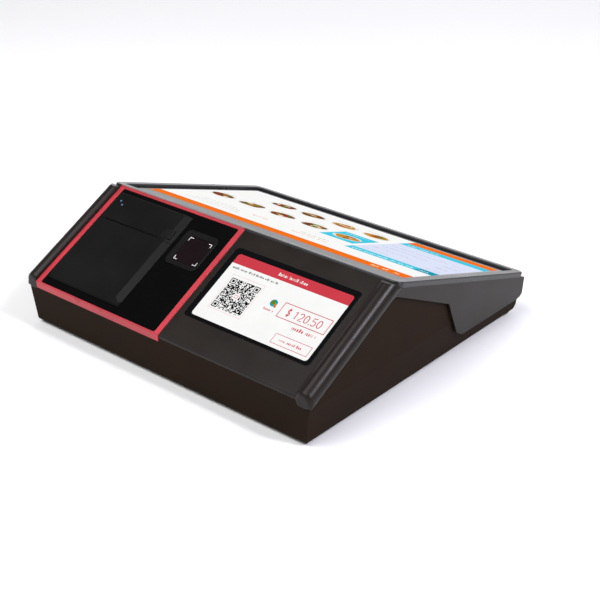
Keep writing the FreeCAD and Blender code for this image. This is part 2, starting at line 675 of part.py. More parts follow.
def make_platen_roller():
    x0, x1 = ROLL_X[0] - 0.5, ROLL_X[1] + 0.4
    sleeve = cyl_x(x0, x1, PLATEN[0], PLATEN[1], PLATEN_R)
    return on_slope(sleeve.cut(cyl_x(x0 - 1, x1 + 1, PLATEN[0], PLATEN[1], SHAFT_R)))


# ---------------------------------------------------------------- gears
def involute_flank(base_r, out_r, root_r, steps):
    """Points (radius, angle) up one flank, angle measured from where the involute starts."""
    points = []
    low = max(base_r, root_r)
    for i in range(steps + 1):
        r = low + (out_r - low) * i / steps
        roll = math.sqrt(max((r / base_r) ** 2 - 1, 0.0))
        points.append((r, roll - math.atan(roll)))
    return points


def gear(teeth, x0, x1, centre, phase, bore):
    """Spur gear with involute teeth on an axis along X; one tooth is centred on the angle phase."""
    pitch_r = MODULE * teeth / 2
    base_r = pitch_r * math.cos(math.radians(PRESSURE))
    out_r = pitch_r + MODULE * 0.95
    root_r = pitch_r - MODULE * 1.25
    pitch_roll = math.sqrt((pitch_r / base_r) ** 2 - 1)
    pitch_angle = pitch_roll - math.atan(pitch_roll)
    half_tooth = (math.pi * MODULE / 2 - BACKLASH / 2) / 2 / pitch_r
    flank = involute_flank(base_r, out_r, root_r, 6)

    def point(r, angle):
        return Vector(x0, centre[0] + r * math.cos(angle), centre[1] + r * math.sin(angle))

    edges = []
    step = 2 * math.pi / teeth
    for i in range(teeth):
        mid = math.radians(phase) + i * step
        rise = [point(r, mid - half_tooth - pitch_angle + a) for r, a in flank]
        fall = [point(r, mid + half_tooth + pitch_angle - a) for r, a in reversed(flank)]
        foot = mid - half_tooth - pitch_angle
        foot_after = mid + half_tooth + pitch_angle
        next_foot = mid + step - half_tooth - pitch_angle
        if root_r < base_r:
            edges.append(Part.LineSegment(point(root_r, foot), rise[0]).toShape())
        for line in (rise, fall):
            curve = Part.BSplineCurve()
            curve.interpolate(line)
            edges.append(curve.toShape())
            if line is rise:
                edges.append(Part.Arc(rise[-1], point(out_r, mid), fall[0]).toShape())
        if root_r < base_r:
            edges.append(Part.LineSegment(fall[-1], point(root_r, foot_after)).toShape())
        edges.append(Part.Arc(point(root_r, foot_after), point(root_r, (foot_after + next_foot) / 2),
                              point(root_r, next_foot)).toShape())
    body = Part.Face(Part.Wire(edges)).extrude(Vector(x1 - x0, 0, 0))
    return body.cut(cyl_x(x0 - 1, x1 + 1, centre[0], centre[1], bore))


MESH_SLACK = 0.04


def along(start, angle, distance):
    a = math.radians(angle)
    return start[0] + distance * math.cos(a), start[1] + distance * math.sin(a)


IDLER = along(PLATEN, IDLER_DIR, MODULE * (PLATEN_TEETH + IDLER_TEETH) / 2 + MESH_SLACK)
PINION = along(IDLER, PINION_DIR, MODULE * (IDLER_TEETH + PINION_TEETH) / 2 + MESH_SLACK)
IDLER_PHASE = IDLER_DIR + 180.0 + 180.0 / IDLER_TEETH


def pinion_phase():
    pitch = 360.0 / IDLER_TEETH
    behind = (PINION_DIR - IDLER_PHASE) % pitch
    return PINION_DIR + 180.0 + behind * IDLER_TEETH / PINION_TEETH + 180.0 / PINION_TEETH


IDLER_PIN_R = 2.0


def make_platen_gear():
    return on_slope(gear(PLATEN_TEETH, GEAR_X[0], GEAR_X[1], PLATEN, IDLER_DIR, SHAFT_R))


def make_idler_gear():
    return on_slope(gear(IDLER_TEETH, GEAR_X[0], GEAR_X[1], IDLER, IDLER_PHASE, IDLER_PIN_R + RUN))


def make_motor_pinion():
    return on_slope(gear(PINION_TEETH, GEAR_X[0], GEAR_X[1], PINION, pinion_phase(), 1.0))


def make_idler_pin():
    pin = cyl_x(-79.6, GEAR_X[1] + 1.2, IDLER[0], IDLER[1], IDLER_PIN_R)
    head = cyl_x(GEAR_X[1] + 0.4, GEAR_X[1] + 1.2, IDLER[0], IDLER[1], 3.2)
    return on_slope(fuse([pin, head]))


# ---------------------------------------------------------------- printer mechanism
HEAD_S = PLATEN[0] + PLATEN_R + HEAD_GAP
MOTOR_R = 10.0


def make_printer_frame():
    """Two side plates joined by a tie plate and a rear bar."""
    side = [(98.6, -2.6, 1.5), (98.6, -14.5), (90.2, -20.0, 1.0), (90.2, -25.2, 1.5), (98.0, -38.5, 4.0),
            (138.5, -38.5, 4.0), (138.5, -2.6, 1.5)]
    plates = [prism_x(side, -79.6, -78.0), prism_x(side, -165.6, -164.0)]
    ties = [box(-165.0, -79.0, 112.0, 136.5, -3.8, -2.6), box(-165.0, -79.0, 135.0, 136.5, -20.0, -2.6)]
    tabs = [box(-172.5, -164.0, 112.0, 126.0, -WALL - 1.4, -WALL), box(-79.6, -57.0, 124.0, 134.0, -WALL - 1.4, -WALL)]
    body = fuse(plates + ties + tabs)
    holes = [cyl_x(-90, -70, IDLER[0], IDLER[1], IDLER_PIN_R),
             cyl_x(-90, -70, PINION[0], PINION[1], 4.0),
             cyl_x(-90, -70, LEVER_PIVOT[0], LEVER_PIVOT[1], 1.5),
             cyl_x(-170, -160, 118.0, -22.0, 6.0)]
    return on_slope(cut(body, holes))


def make_thermal_head():
    ceramic = box(-162.6, -80.2, HEAD_S, HEAD_S + 1.2, -14.5, -4.0)
    sink = box(-164.0, -79.6, HEAD_S + 1.2, HEAD_S + 4.6, -15.0, -5.4)
    return on_slope(fuse([ceramic, sink]))


def make_tear_bar():
    """Toothed steel strip under the slot's upper edge."""
    x0, x1 = SLOT_X[0] + 0.4, SLOT_X[1] - 0.4
    back = 110.0
    root = SEAM_S + 1.5
    tip = SEAM_S + 0.7
    count = 40
    pitch = (x1 - x0) / count
    points = [(x0, back), (x1, back), (x1, root)]
    for i in range(count):
        points.append((x1 - (i + 0.5) * pitch, tip))
        points.append((x1 - (i + 1) * pitch, root))
    return on_slope(plate(points, SLAB_LOW - 0.8, SLAB_LOW))


def make_stepper_motor():
    body = cyl_x(-98.5, -80.8, PINION[0], PINION[1], MOTOR_R)
    face = [(PINION[0] - 12, PINION[1] - 4, 2.0), (PINION[0] + 11, PINION[1] - 4, 2.0),
            (PINION[0] + 11, PINION[1] + 4, 2.0), (PINION[0] - 12, PINION[1] + 4, 2.0)]
    flange = prism_x(face, -80.8, -79.6)
    boss = cyl_x(-80.8, -78.2, PINION[0], PINION[1], 3.8)
    whole = fuse([body, flange, boss])
    return on_slope(whole.cut(cyl_x(-99.5, -70, PINION[0], PINION[1], 1.0 + RUN)))


def make_motor_shaft():
    return on_slope(cyl_x(-97.0, GEAR_X[1], PINION[0], PINION[1], 1.0))


def make_paper_bucket():
    """Trough under the paper roll, with cheeks at both ends and ribs down to the tray."""
    x0, x1 = ROLL_X[0] - 1.2, ROLL_X[1] + 1.2
    y, z = slope_point(*ROLL)
    outer = cyl_x(x0 - BUCKET_T, x1 + BUCKET_T, y, z, BUCKET_R + BUCKET_T)
    inner = cyl_x(x0, x1, y, z, BUCKET_R)
    ribs = []
    for x in (x0 + 8.0, x1 - 8.0):
        ribs.append(box(x - 1.3, x + 1.3, y - 20.0, y + 20.0, FOOT_H + TRAY_WALL, z - 20.0))
    lid = on_slope(box(-200, 0, -60, 200, -14.0, 60))
    body = fuse([outer] + ribs).cut(inner).cut(lid)
    eye = cyl_x(x0 - 5, x1 + 5, y, z, 11.0)
    return body.cut(eye)


def make_paper_roll():
    body = cyl_x(ROLL_X[0], ROLL_X[1], ROLL[0], ROLL[1], ROLL_R)
    return on_slope(body.cut(cyl_x(ROLL_X[0] - 1, ROLL_X[1] + 1, ROLL[0], ROLL[1], CORE_R)))


def make_paper_core():
    tube = cyl_x(ROLL_X[0] + 0.2, ROLL_X[1] - 0.2, ROLL[0], ROLL[1], CORE_R)
    return on_slope(tube.cut(cyl_x(ROLL_X[0] - 1, ROLL_X[1] + 1, ROLL[0], ROLL[1], CORE_BORE_R)))


def make_release_button():
    cap = rounded(BUTTON_X[0], BUTTON_X[1], BUTTON_S[0], BUTTON_S[1], 0.4, SLAB_TOP + 0.3, 1.0)
    cap = soften(cap, 0.5, at_height(SLAB_TOP + 0.3))
    stem = box(LEVER_X[0] - 0.2, LEVER_X[1] + 0.4, 115.5, 116.9, -4.2, 0.4)
    return on_slope(fuse([cap, stem]))


def make_release_lever():
    """Rocker under the button: its hook stands behind the platen shaft's end."""
    p = LEVER_PIVOT
    reach = PLATEN[0] + SHAFT_R + 0.9
    hook = [(reach, -10.6, 0.6), (reach, -5.7, 1.0), (p[0] - 3.0, -4.5, 1.5), (118.6, -4.5, 0.8), (118.6, -6.4, 0.8),
            (p[0] + 3.2, p[1] - 2.6, 1.5), (p[0] - 3.0, p[1] - 2.6, 1.5), (p[0] - 5.0, -7.8, 0.8), (reach + 1.8, -8.2, 0.6),
            (reach + 1.8, -10.6, 0.6)]
    body = prism_x(hook, LEVER_X[0], LEVER_X[1])
    return on_slope(body.cut(cyl_x(-90, -60, p[0], p[1], 1.5 + RUN)))


def make_lever_pin():
    pin = cyl_x(-79.6, LEVER_X[1] + 1.2, LEVER_PIVOT[0], LEVER_PIVOT[1], 1.5)
    head = cyl_x(LEVER_X[1] + 0.4, LEVER_X[1] + 1.2, LEVER_PIVOT[0], LEVER_PIVOT[1], 2.6)
    collar = cyl_x(-78.0, LEVER_X[0] - 0.4, LEVER_PIVOT[0], LEVER_PIVOT[1], 2.2)
    return on_slope(fuse([pin, head, collar]))


# ---------------------------------------------------------------- scanner and reader
SCAN_FRAME = (-56.0, -13.1, 81.2, 126.5)
SCAN_GLASS = (-48.8, -15.6, 85.3, 119.8)


def make_scan_frame():
    body = rounded(*SCAN_FRAME, PANEL_TOP, 1.9, 6.0)
    body = soften(body, 0.7, at_height(1.9))
    return on_slope(body.cut(rounded(*SCAN_GLASS, 0, 5, 3.0)))


def make_scan_window():
    x0, x1, s0, s1 = SCAN_GLASS
    f = 0.1
    return on_slope(rounded(x0 + f, x1 - f, s0 + f, s1 - f, PANEL_TOP, PANEL_TOP + 0.8, 2.9))


def make_scanner_module():
    body = box(-45.0, -19.5, 90.0, 115.0, -20.0, -8.0)
    barrel = cyl_z(-36.0, 102.5, -8.0, -4.0, 5.5)
    lamp = cyl_z(-25.0, 102.5, -8.0, -5.0, 3.2)
    return on_slope(fuse([body, barrel, lamp]))


def make_scanner_bracket():
    """Cradle that hangs the scan engine from the hood."""
    arms = []
    for x0, x1 in ((-46.4, -45.0), (-19.5, -18.1)):
        arms.append(box(x0, x1, 94.0, 111.0, -21.4, -WALL))
    floor = box(-46.4, -18.1, 94.0, 111.0, -21.4, -20.0)
    feet = [box(-53.0, -45.0, 94.0, 111.0, -WALL - 1.4, -WALL), box(-19.5, -11.5, 94.0, 111.0, -WALL - 1.4, -WALL)]
    window = box(-47.0, -17.5, 80.0, 86.9, -30, 0)
    return on_slope(fuse(arms + [floor] + feet).cut(window))


def make_nfc_antenna():
    board = rounded(-56.0, -9.0, 14.0, 76.0, -WALL - 1.6, -WALL, 4.0)
    hole = rounded(-48.0, -17.0, 22.0, 68.0, -9, 0, 3.0)
    return on_slope(board.cut(hole))


# ---------------------------------------------------------------- electronics in the tray
def make_mainboard():
    x0, x1, y0, y1 = BOARD
    board = rounded(x0, x1, y0, y1, BOARD_Z, BOARD_Z + 1.6, 3.0)
    chips = [box(-40, -16, 105, 125, BOARD_Z + 1.6, BOARD_Z + 3.0), box(60, 78, 60, 90, BOARD_Z + 1.6, BOARD_Z + 3.4),
             box(84, 98, 60, 90, BOARD_Z + 1.6, BOARD_Z + 3.4), box(-52, -30, 40, 46, BOARD_Z + 1.6, BOARD_Z + 6.0),
             box(20, 50, 138, 144, BOARD_Z + 1.6, BOARD_Z + 6.0)]
    holes = [cyl_z(x, y, 0, 40, 1.6) for x, y in BOARD_SCREWS]
    return cut(fuse([board] + chips), holes)


SINK = (-10.0, 40.0, 65.0, 115.0)


def make_heat_sink():
    x0, x1, y0, y1 = SINK
    base = BOARD_Z + 1.6
    parts = [box(x0, x1, y0, y1, base, base + 3.0)]
    count = 9
    pitch = (x1 - x0 - 1.6) / (count - 1)
    for i in range(count):
        parts.append(box(x0 + i * pitch, x0 + i * pitch + 1.6, y0, y1, base + 2.0, base + 14.0))
    return fuse(parts)


def make_board_screws():
    screws = []
    for x, y in BOARD_SCREWS:
        head = cyl_z(x, y, BOARD_Z + 1.6, BOARD_Z + 3.6, 2.8)
        screws.append(fuse([head, cyl_z(x, y, FOOT_H + TRAY_WALL + 1.5, BOARD_Z + 1.6, 1.2)]))
    return Part.makeCompound(screws)


def make_port_plate():
    """Steel plate round the sockets, set in the tray's side wall."""
    return cut(box(*PORT_PLATE_X, *PORT_WINDOW), port_holes())


def make_io_board():
    x0, x1, y0, y1 = IO_BOARD
    return box(x0, x1, y0, y1, PORT_Z - 1.6, PORT_Z)


def socket(y, size, depth, mouth, mouth_low):
    """Socket body with a rectangular mouth open to the left side."""
    w, h = size
    body = box(PORT_X, PORT_X + depth, y - w / 2, y + w / 2, PORT_Z, PORT_Z + h)
    hole = box(PORT_X - 1, PORT_X + depth - 1.5, y - mouth[0] / 2, y + mouth[0] / 2,
               PORT_Z + mouth_low, PORT_Z + mouth_low + mouth[1])
    return body, hole


def make_usb_sockets():
    made = []
    for y in USB_Y:
        body, hole = socket(y, USB_SIZE, 14.0, (12.2, 4.8), 0.5)
        tongue = box(PORT_X + 1.5, PORT_X + 13.0, y - 5.6, y + 5.6, PORT_Z + 4.1, PORT_Z + 5.3)
        made.append(fuse([body.cut(hole), tongue]))
    return Part.makeCompound(made)


def make_lan_socket():
    body, hole = socket(LAN_Y, LAN_SIZE, 19.0, (11.8, 8.0), 3.4)
    key = box(PORT_X - 1, PORT_X + 14, LAN_Y - 3, LAN_Y + 3, PORT_Z + 1.4, PORT_Z + 3.4)
    return cut(body, [hole, key])


def make_drawer_socket():
    body, hole = socket(DRAWER_Y, DRAWER_SIZE, 16.0, (9.8, 6.8), 3.2)
    key = box(PORT_X - 1, PORT_X + 12, DRAWER_Y - 1.6, DRAWER_Y + 1.6, PORT_Z + 1.4, PORT_Z + 3.2)
    return cut(body, [hole, key])


def make_power_socket():
    z = PORT_Z + 5.5
    shell = fuse([box(PORT_X + 3.8, PORT_X + 14, POWER_Y - 4.8, POWER_Y + 4.8, PORT_Z, PORT_Z + 11.0),
                  cyl_x(PORT_X, PORT_X + 4.5, POWER_Y, z, POWER_R + 0.8)])
    bore = cyl_x(PORT_X - 1, PORT_X + 10, POWER_Y, z, 2.8)
    pin = cyl_x(PORT_X + 1.5, PORT_X + 11, POWER_Y, z, 1.0)
    return fuse([shell.cut(bore), pin])


def make_power_button():
    cap = cyl_x(PORT_X - 0.6, PORT_X + 4.0, SWITCH_Y, 12.5, SWITCH_R)

    def outer_rim(e):
        return abs(e.BoundBox.XMin - PORT_X + 0.6) < 1e-4 and e.BoundBox.XLength < 1e-4

    cap = soften(cap, 0.7, outer_rim)
    flange = cyl_x(PORT_X + 4.0, PORT_X + 5.2, SWITCH_Y, 12.5, SWITCH_R + 1.0)
    return fuse([cap, flange])


def make_power_switch():
    body = box(PORT_X + 7.4, PORT_X + 11.0, SWITCH_Y - 4.0, SWITCH_Y + 4.0, 5.0, 16.0)
    return body


def make_speaker():
    x, y = SPEAKER
    floor = FOOT_H + TRAY_WALL
    frame = rounded(x - 24, x + 24, y - 17, y + 17, floor + 2.5, floor + 5.0, 4.0)
    magnet = rounded(x - 12, x + 12, y - 9, y + 9, floor + 5.0, floor + 12.0, 3.0)
    skirt = rounded(x - 24, x + 24, y - 17, y + 17, floor, floor + 2.5, 4.0)
    hollow = rounded(x - 22.4, x + 22.4, y - 15.4, y + 15.4, floor - 1, floor + 2.5, 3.0)
    body = fuse([skirt.cut(hollow), frame, magnet])
    return body


def make_rubber_feet():
    feet = []
    for x, y in FEET:
        disc = cyl_z(x, y, 0.0, FOOT_H + 1.0, FOOT_R - 0.1)
        feet.append(soften(disc, 0.8, at_height(0.0)))
    return Part.makeCompound(feet)


def make_housing_screws():
    screws = []
    for x, y in SCREW_POSTS:
        head = cyl_z(x, y, FOOT_H + 0.2, FOOT_H + 1.8, 3.1)
        cross = [box(x - 1.7, x + 1.7, y - 0.35, y + 0.35, 0, FOOT_H + 1.2),
                 box(x - 0.35, x + 0.35, y - 1.7, y + 1.7, 0, FOOT_H + 1.2)]
        stem = cyl_z(x, y, FOOT_H + 1.8, 26.0, 1.25)
        screws.append(cut(fuse([head, stem]), cross))
    return Part.makeCompound(screws)


def make_display_screws():
    screws = []
    low = LCD_LOW - 1.2
    for x, t in DISPLAY_SCREWS:
        head = cyl_z(x, t, low - 1.6, low, 2.6)
        screws.append(on_top(fuse([head, cyl_z(x, t, low, LCD_LOW + 2.2, 1.2)])))
    return Part.makeCompound(screws)


def make_display_cable():
    """Flat cable from the mainboard up to the main display."""
    width = 20.0
    thick = 0.4
    y0 = 141.0
    start = BOARD_Z + 6.0
    end = top_point(205.0, LCD_LOW - 1.2)
    path = [(y0, start), (y0 - 3.0, start + 16.0), (end[0], end[1])]
    outer = [(path[0][0], path[0][1]), (path[0][0] + 1.0, path[1][1] - 2.0, 6.0), (path[2][0], path[2][1])]
    inner = [(path[2][0] - thick, path[2][1]), (path[0][0] + 1.0 - thick, path[1][1] - 2.0, 6.0),
             (path[0][0] - thick, path[0][1])]
    return prism_x(outer + inner, 25.0, 25.0 + width)


# ---------------------------------------------------------------- build
ORDER = [
    ("upper_housing", make_upper_housing),
    ("top_bezel", make_top_bezel),
    ("base_tray", make_base_tray),
    ("main_touch_glass", make_main_touch_glass),
    ("main_lcd_panel", make_main_lcd_panel),
    ("main_display_bracket", make_main_display_bracket),
    ("customer_glass", make_customer_glass),
    ("customer_lcd_panel", make_customer_lcd_panel),
    ("customer_display_bracket", make_customer_display_bracket),
    ("printer_trim", make_printer_trim),
    ("printer_panel", make_printer_panel),
    ("paper_door", make_paper_door),
    ("printer_bezel", make_printer_bezel),
    ("status_leds", make_status_leds),
    ("door_hinge_pin", make_door_hinge_pin),
    ("platen_shaft", make_platen_shaft),
    ("platen_roller", make_platen_roller),
    ("platen_gear", make_platen_gear),
    ("idler_gear", make_idler_gear),
    ("idler_pin", make_idler_pin),
    ("motor_pinion", make_motor_pinion),
    ("motor_shaft", make_motor_shaft),
    ("stepper_motor", make_stepper_motor),
    ("printer_frame", make_printer_frame),
    ("thermal_head", make_thermal_head),
    ("tear_bar", make_tear_bar),
    ("paper_bucket", make_paper_bucket),
    ("paper_roll", make_paper_roll),
    ("paper_core", make_paper_core),
    ("release_button", make_release_button),
    ("release_lever", make_release_lever),
    ("lever_pin", make_lever_pin),
    ("scan_frame", make_scan_frame),
    ("scan_window", make_scan_window),
    ("scanner_module", make_scanner_module),
    ("scanner_bracket", make_scanner_bracket),
    ("nfc_antenna", make_nfc_antenna),
    ("mainboard", make_mainboard),
    ("heat_sink", make_heat_sink),
    ("board_screws", make_board_screws),
    ("port_plate", make_port_plate),
    ("io_board", make_io_board),
    ("usb_sockets", make_usb_sockets),
    ("lan_socket", make_lan_socket),
    ("drawer_socket", make_drawer_socket),
    ("power_socket", make_power_socket),
    ("power_button", make_power_button),
    ("power_switch", make_power_switch),
    ("speaker", make_speaker),
    ("rubber_feet", make_rubber_feet),
    ("housing_screws", make_housing_screws),
    ("display_screws", make_display_screws),
    ("display_cable", make_display_cable),
]

os.makedirs("parts", exist_ok=True)
for name, make in ORDER:
    shape = make()
    if shape.ShapeType == "Compound" and len(shape.Solids) == 1:
        shape = shape.Solids[0]
    shapes[name] = shape
    shape.exportStep(os.path.join("parts", name + ".step"))
    b = shape.BoundBox
    print(f"{name:26s} solids {len(shape.Solids)} valid {shape.isValid()} volume {shape.Volume / 1000:8.2f} cm3"
          f"  x {b.XMin:7.1f} {b.XMax:7.1f}  y {b.YMin:7.1f} {b.YMax:7.1f}  z {b.ZMin:6.1f} {b.ZMax:6.1f}")
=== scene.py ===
import math
import random

import bmesh
import bpy
from mathutils import Matrix, Vector


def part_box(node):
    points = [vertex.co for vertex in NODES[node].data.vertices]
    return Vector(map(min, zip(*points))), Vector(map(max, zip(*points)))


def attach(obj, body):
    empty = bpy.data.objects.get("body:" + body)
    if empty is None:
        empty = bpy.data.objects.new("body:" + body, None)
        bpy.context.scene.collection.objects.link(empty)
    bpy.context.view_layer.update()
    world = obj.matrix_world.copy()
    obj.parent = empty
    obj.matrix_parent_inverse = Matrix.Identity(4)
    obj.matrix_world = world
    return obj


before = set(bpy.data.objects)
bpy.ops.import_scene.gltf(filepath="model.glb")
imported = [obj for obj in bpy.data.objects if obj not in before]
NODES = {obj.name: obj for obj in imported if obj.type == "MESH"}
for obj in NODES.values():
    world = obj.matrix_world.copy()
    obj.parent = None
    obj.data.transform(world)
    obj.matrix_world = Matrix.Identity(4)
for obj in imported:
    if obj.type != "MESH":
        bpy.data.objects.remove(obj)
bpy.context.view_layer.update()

MM = 0.001
scene = bpy.context.scene

# ---------------------------------------------------------------- driving values (millimetres, degrees)
SLOPE_ANGLE = 29.08
SLOPE_LEN = 147.5
TOP_ANGLE = 17.1
SLOPE_EDGE = (-183.0, 48.4)          # (y, z) of the customer slope's lower edge
MAIN_ACTIVE = (344.2, 188.0)         # operator picture, across and back
MAIN_CORNER = (-170.6, 36.0)         # its corner on the left and by the ridge, (x, t)
MAIN_FACE = -0.1                     # face of the operator's cover glass, out of the top plane
CUST_ACTIVE = (144.0, 80.2)          # customer picture, across and up
CUST_CORNER = (17.1, 40.1)           # its lower left corner, (x, s)
CUST_FACE = 0.15                     # face of the customer's cover glass, out of the slope
SCAN_MARKS_S = (88.2, 118.0)         # lower and upper ends of the scan window's corner marks
SCAN_FACE = 1.4                      # face of the scan window, out of the slope
FILM = 0.05                          # one layer of picture or print
THIN = FILM * 0.3                    # thickness of the layers printed over a picture
SHARP_ANGLE = 32.0                   # faces that meet at less than this are shaded as one curve

# camera: places in metres, roll in degrees, lens in millimetres
CAMERA_AT = Vector((762.9, -892.1, 607.7)) * MM
CAMERA_AIM = Vector((110.5, -96.7, 93.8)) * MM
CAMERA_ROLL = 0.97
CAMERA_LENS = 73.57


def slope(x, s, n):
    """Point given by its place across, up and out of the customer slope."""
    a = math.radians(SLOPE_ANGLE)
    y = SLOPE_EDGE[0] + s * math.cos(a) - n * math.sin(a)
    z = SLOPE_EDGE[1] + s * math.sin(a) + n * math.cos(a)
    return Vector((x, y, z)) * MM


def top(x, t, n):
    """Point given by its place across, back along and out of the operator's top plane."""
    a = math.radians(TOP_ANGLE)
    ridge = slope(0, SLOPE_LEN, 0) / MM
    y = ridge.y + t * math.cos(a) + n * math.sin(a)
    z = ridge.z - t * math.sin(a) + n * math.cos(a)
    return Vector((x, y, z)) * MM


# ---------------------------------------------------------------- materials
def new_material(name):
    """New node material: the material, its node tree and its shader."""
    mat = bpy.data.materials.new(name)
    mat.use_nodes = True
    nt = mat.node_tree
    shader = nt.nodes["Principled BSDF"]
    return mat, nt, shader


def noise(nt, scale, detail=2.0, rough=0.5):
    """Noise texture in the object's own space; scale is features per metre."""
    where = nt.nodes.new("ShaderNodeTexCoord")
    tex = nt.nodes.new("ShaderNodeTexNoise")
    tex.inputs["Scale"].default_value = scale
    tex.inputs["Detail"].default_value = detail
    tex.inputs["Roughness"].default_value = rough
    nt.links.new(where.outputs["Object"], tex.inputs["Vector"])
    return tex.outputs["Fac"]


def ramp(nt, source, stops):
    """Colour ramp with (position, colour) stops."""
    node = nt.nodes.new("ShaderNodeValToRGB")
    band = node.color_ramp
    while len(band.elements) < len(stops):
        band.elements.new(0.5)
    for element, (place, colour) in zip(band.elements, stops):
        element.position = place
        element.color = (*colour, 1.0)
    nt.links.new(source, node.inputs["Fac"])
    return node.outputs["Color"]


def spread(nt, source, low, high, from_low=0.3, from_high=0.7):
    """Maps a noise value to a range."""
    node = nt.nodes.new("ShaderNodeMapRange")
    node.inputs["From Min"].default_value = from_low
    node.inputs["From Max"].default_value = from_high
    node.inputs["To Min"].default_value = low
    node.inputs["To Max"].default_value = high
    nt.links.new(source, node.inputs["Value"])
    return node.outputs["Result"]


def bump(nt, shader, height, strength, distance, base=None):
    """Raises the surface by a texture, over the normals of base if they are given."""
    node = nt.nodes.new("ShaderNodeBump")
    node.inputs["Strength"].default_value = strength
    node.inputs["Distance"].default_value = distance
    nt.links.new(height, node.inputs["Height"])
    if base is not None:
        nt.links.new(base, node.inputs["Normal"])
    nt.links.new(node.outputs["Normal"], shader.inputs["Normal"])


def worn_edge(nt, radius):
    """Normals rounded over at sharp edges."""
    node = nt.nodes.new("ShaderNodeBevel")
    node.samples = 4
    node.inputs["Radius"].default_value = radius
    return node.outputs["Normal"]


def lighter(colour, gain):
    """Colour made brighter, or darker with a gain below 1."""
    return tuple(min(1.0, c * gain) for c in colour)


def moulded(name, colour, roughness, grain=1400.0, strength=0.35, specular=0.18):
    """Spark-eroded moulded plastic: fine grain, cloudy gloss and slightly lighter high spots."""
    depth, edge = 0.00006, 0.0005
    mat, nt, shader = new_material(name)
    fine = noise(nt, grain, 2.0)
    cloud = noise(nt, 22.0, 3.0)
    tone = ramp(nt, cloud, [(0.3, lighter(colour, 0.88)), (0.7, lighter(colour, 1.14))])
    speck = nt.nodes.new("ShaderNodeMix")
    speck.data_type = "RGBA"
    nt.links.new(spread(nt, fine, 0.0, 0.35, 0.45, 0.75), speck.inputs["Factor"])
    nt.links.new(tone, speck.inputs["A"])
    speck.inputs["B"].default_value = (*lighter(colour, 1.5), 1.0)
    nt.links.new(speck.outputs["Result"], shader.inputs["Base Color"])
    nt.links.new(spread(nt, cloud, roughness - 0.05, roughness + 0.06), shader.inputs["Roughness"])
    shader.inputs["Specular IOR Level"].default_value = specular
    bump(nt, shader, fine, strength, depth, worn_edge(nt, edge))
    return mat


def polished(name, colour, roughness, specular, wave=9.0):
    """Polished plastic or glass with faint smears and a slight waviness."""
    depth, edge = 0.0004, 0.0004
    mat, nt, shader = new_material(name)
    smear = noise(nt, 55.0, 5.0, 0.65)
    broad = noise(nt, wave, 1.0)
    tone = ramp(nt, smear, [(0.25, lighter(colour, 0.9)), (0.75, lighter(colour, 1.25))])
    nt.links.new(tone, shader.inputs["Base Color"])
    nt.links.new(spread(nt, smear, roughness * 0.6, roughness * 1.9), shader.inputs["Roughness"])
    shader.inputs["Specular IOR Level"].default_value = specular
    bump(nt, shader, broad, 0.04, depth, worn_edge(nt, edge))
    return mat


def lit(name, colour, light, gloss=0.07):
    """Part of a backlit picture seen through the cover glass."""
    mat, nt, shader = new_material(name)
    smear = noise(nt, 60.0, 5.0, 0.6)
    tone = ramp(nt, smear, [(0.3, lighter(colour, 0.05)), (0.7, lighter(colour, 0.09))])
    nt.links.new(tone, shader.inputs["Base Color"])
    nt.links.new(spread(nt, smear, gloss * 0.7, gloss * 1.6), shader.inputs["Roughness"])
    shader.inputs["Specular IOR Level"].default_value = 0.0
    shader.inputs["Emission Color"].default_value = (*colour, 1.0)
    shader.inputs["Emission Strength"].default_value = light
    return mat


def metal(name, colour, roughness, stretch=(1.0, 1.0, 1.0), grain=500.0):
    """Metal with a fine grain, drawn out along an axis where stretch is below 1."""
    depth, edge = 0.00003, 0.0003
    mat, nt, shader = new_material(name)
    where = nt.nodes.new("ShaderNodeTexCoord")
    scale = nt.nodes.new("ShaderNodeMapping")
    scale.inputs["Scale"].default_value = stretch
    tex = nt.nodes.new("ShaderNodeTexNoise")
    tex.inputs["Scale"].default_value = grain
    tex.inputs["Detail"].default_value = 3.0
    nt.links.new(where.outputs["Object"], scale.inputs["Vector"])
    nt.links.new(scale.outputs["Vector"], tex.inputs["Vector"])
    grain_out = tex.outputs["Fac"]
    tone = ramp(nt, grain_out, [(0.3, lighter(colour, 0.86)), (0.7, lighter(colour, 1.08))])
    nt.links.new(tone, shader.inputs["Base Color"])
    nt.links.new(spread(nt, grain_out, roughness - 0.07, roughness + 0.1), shader.inputs["Roughness"])
    shader.inputs["Metallic"].default_value = 1.0
    bump(nt, shader, grain_out, 0.12, depth, worn_edge(nt, edge))
    return mat


def board(name):
    """Printed circuit board: green fields with paler lines between them."""
    mat, nt, shader = new_material(name)
    where = nt.nodes.new("ShaderNodeTexCoord")
    cells = nt.nodes.new("ShaderNodeTexBrick")
    cells.inputs["Scale"].default_value = 160.0
    cells.inputs["Mortar Size"].default_value = 0.09
    cells.inputs["Color1"].default_value = (0.012, 0.085, 0.035, 1.0)
    cells.inputs["Color2"].default_value = (0.018, 0.125, 0.050, 1.0)
    cells.inputs["Mortar"].default_value = (0.035, 0.20, 0.075, 1.0)
    nt.links.new(where.outputs["Object"], cells.inputs["Vector"])
    nt.links.new(cells.outputs["Color"], shader.inputs["Base Color"])
    nt.links.new(spread(nt, noise(nt, 90.0), 0.22, 0.4), shader.inputs["Roughness"])
    bump(nt, shader, cells.outputs["Fac"], 0.25, 0.00005)
    return mat


def rubber(name, colour):
    """Matt rubber with a little dust in its grain."""
    mat, nt, shader = new_material(name)
    fine = noise(nt, 2600.0, 3.0)
    dust = noise(nt, 70.0, 4.0)
    tone = ramp(nt, dust, [(0.35, colour), (0.75, lighter(colour, 1.9))])
    nt.links.new(tone, shader.inputs["Base Color"])
    nt.links.new(spread(nt, dust, 0.72, 0.92), shader.inputs["Roughness"])
    shader.inputs["Specular IOR Level"].default_value = 0.25
    bump(nt, shader, fine, 0.4, 0.00005)
    return mat


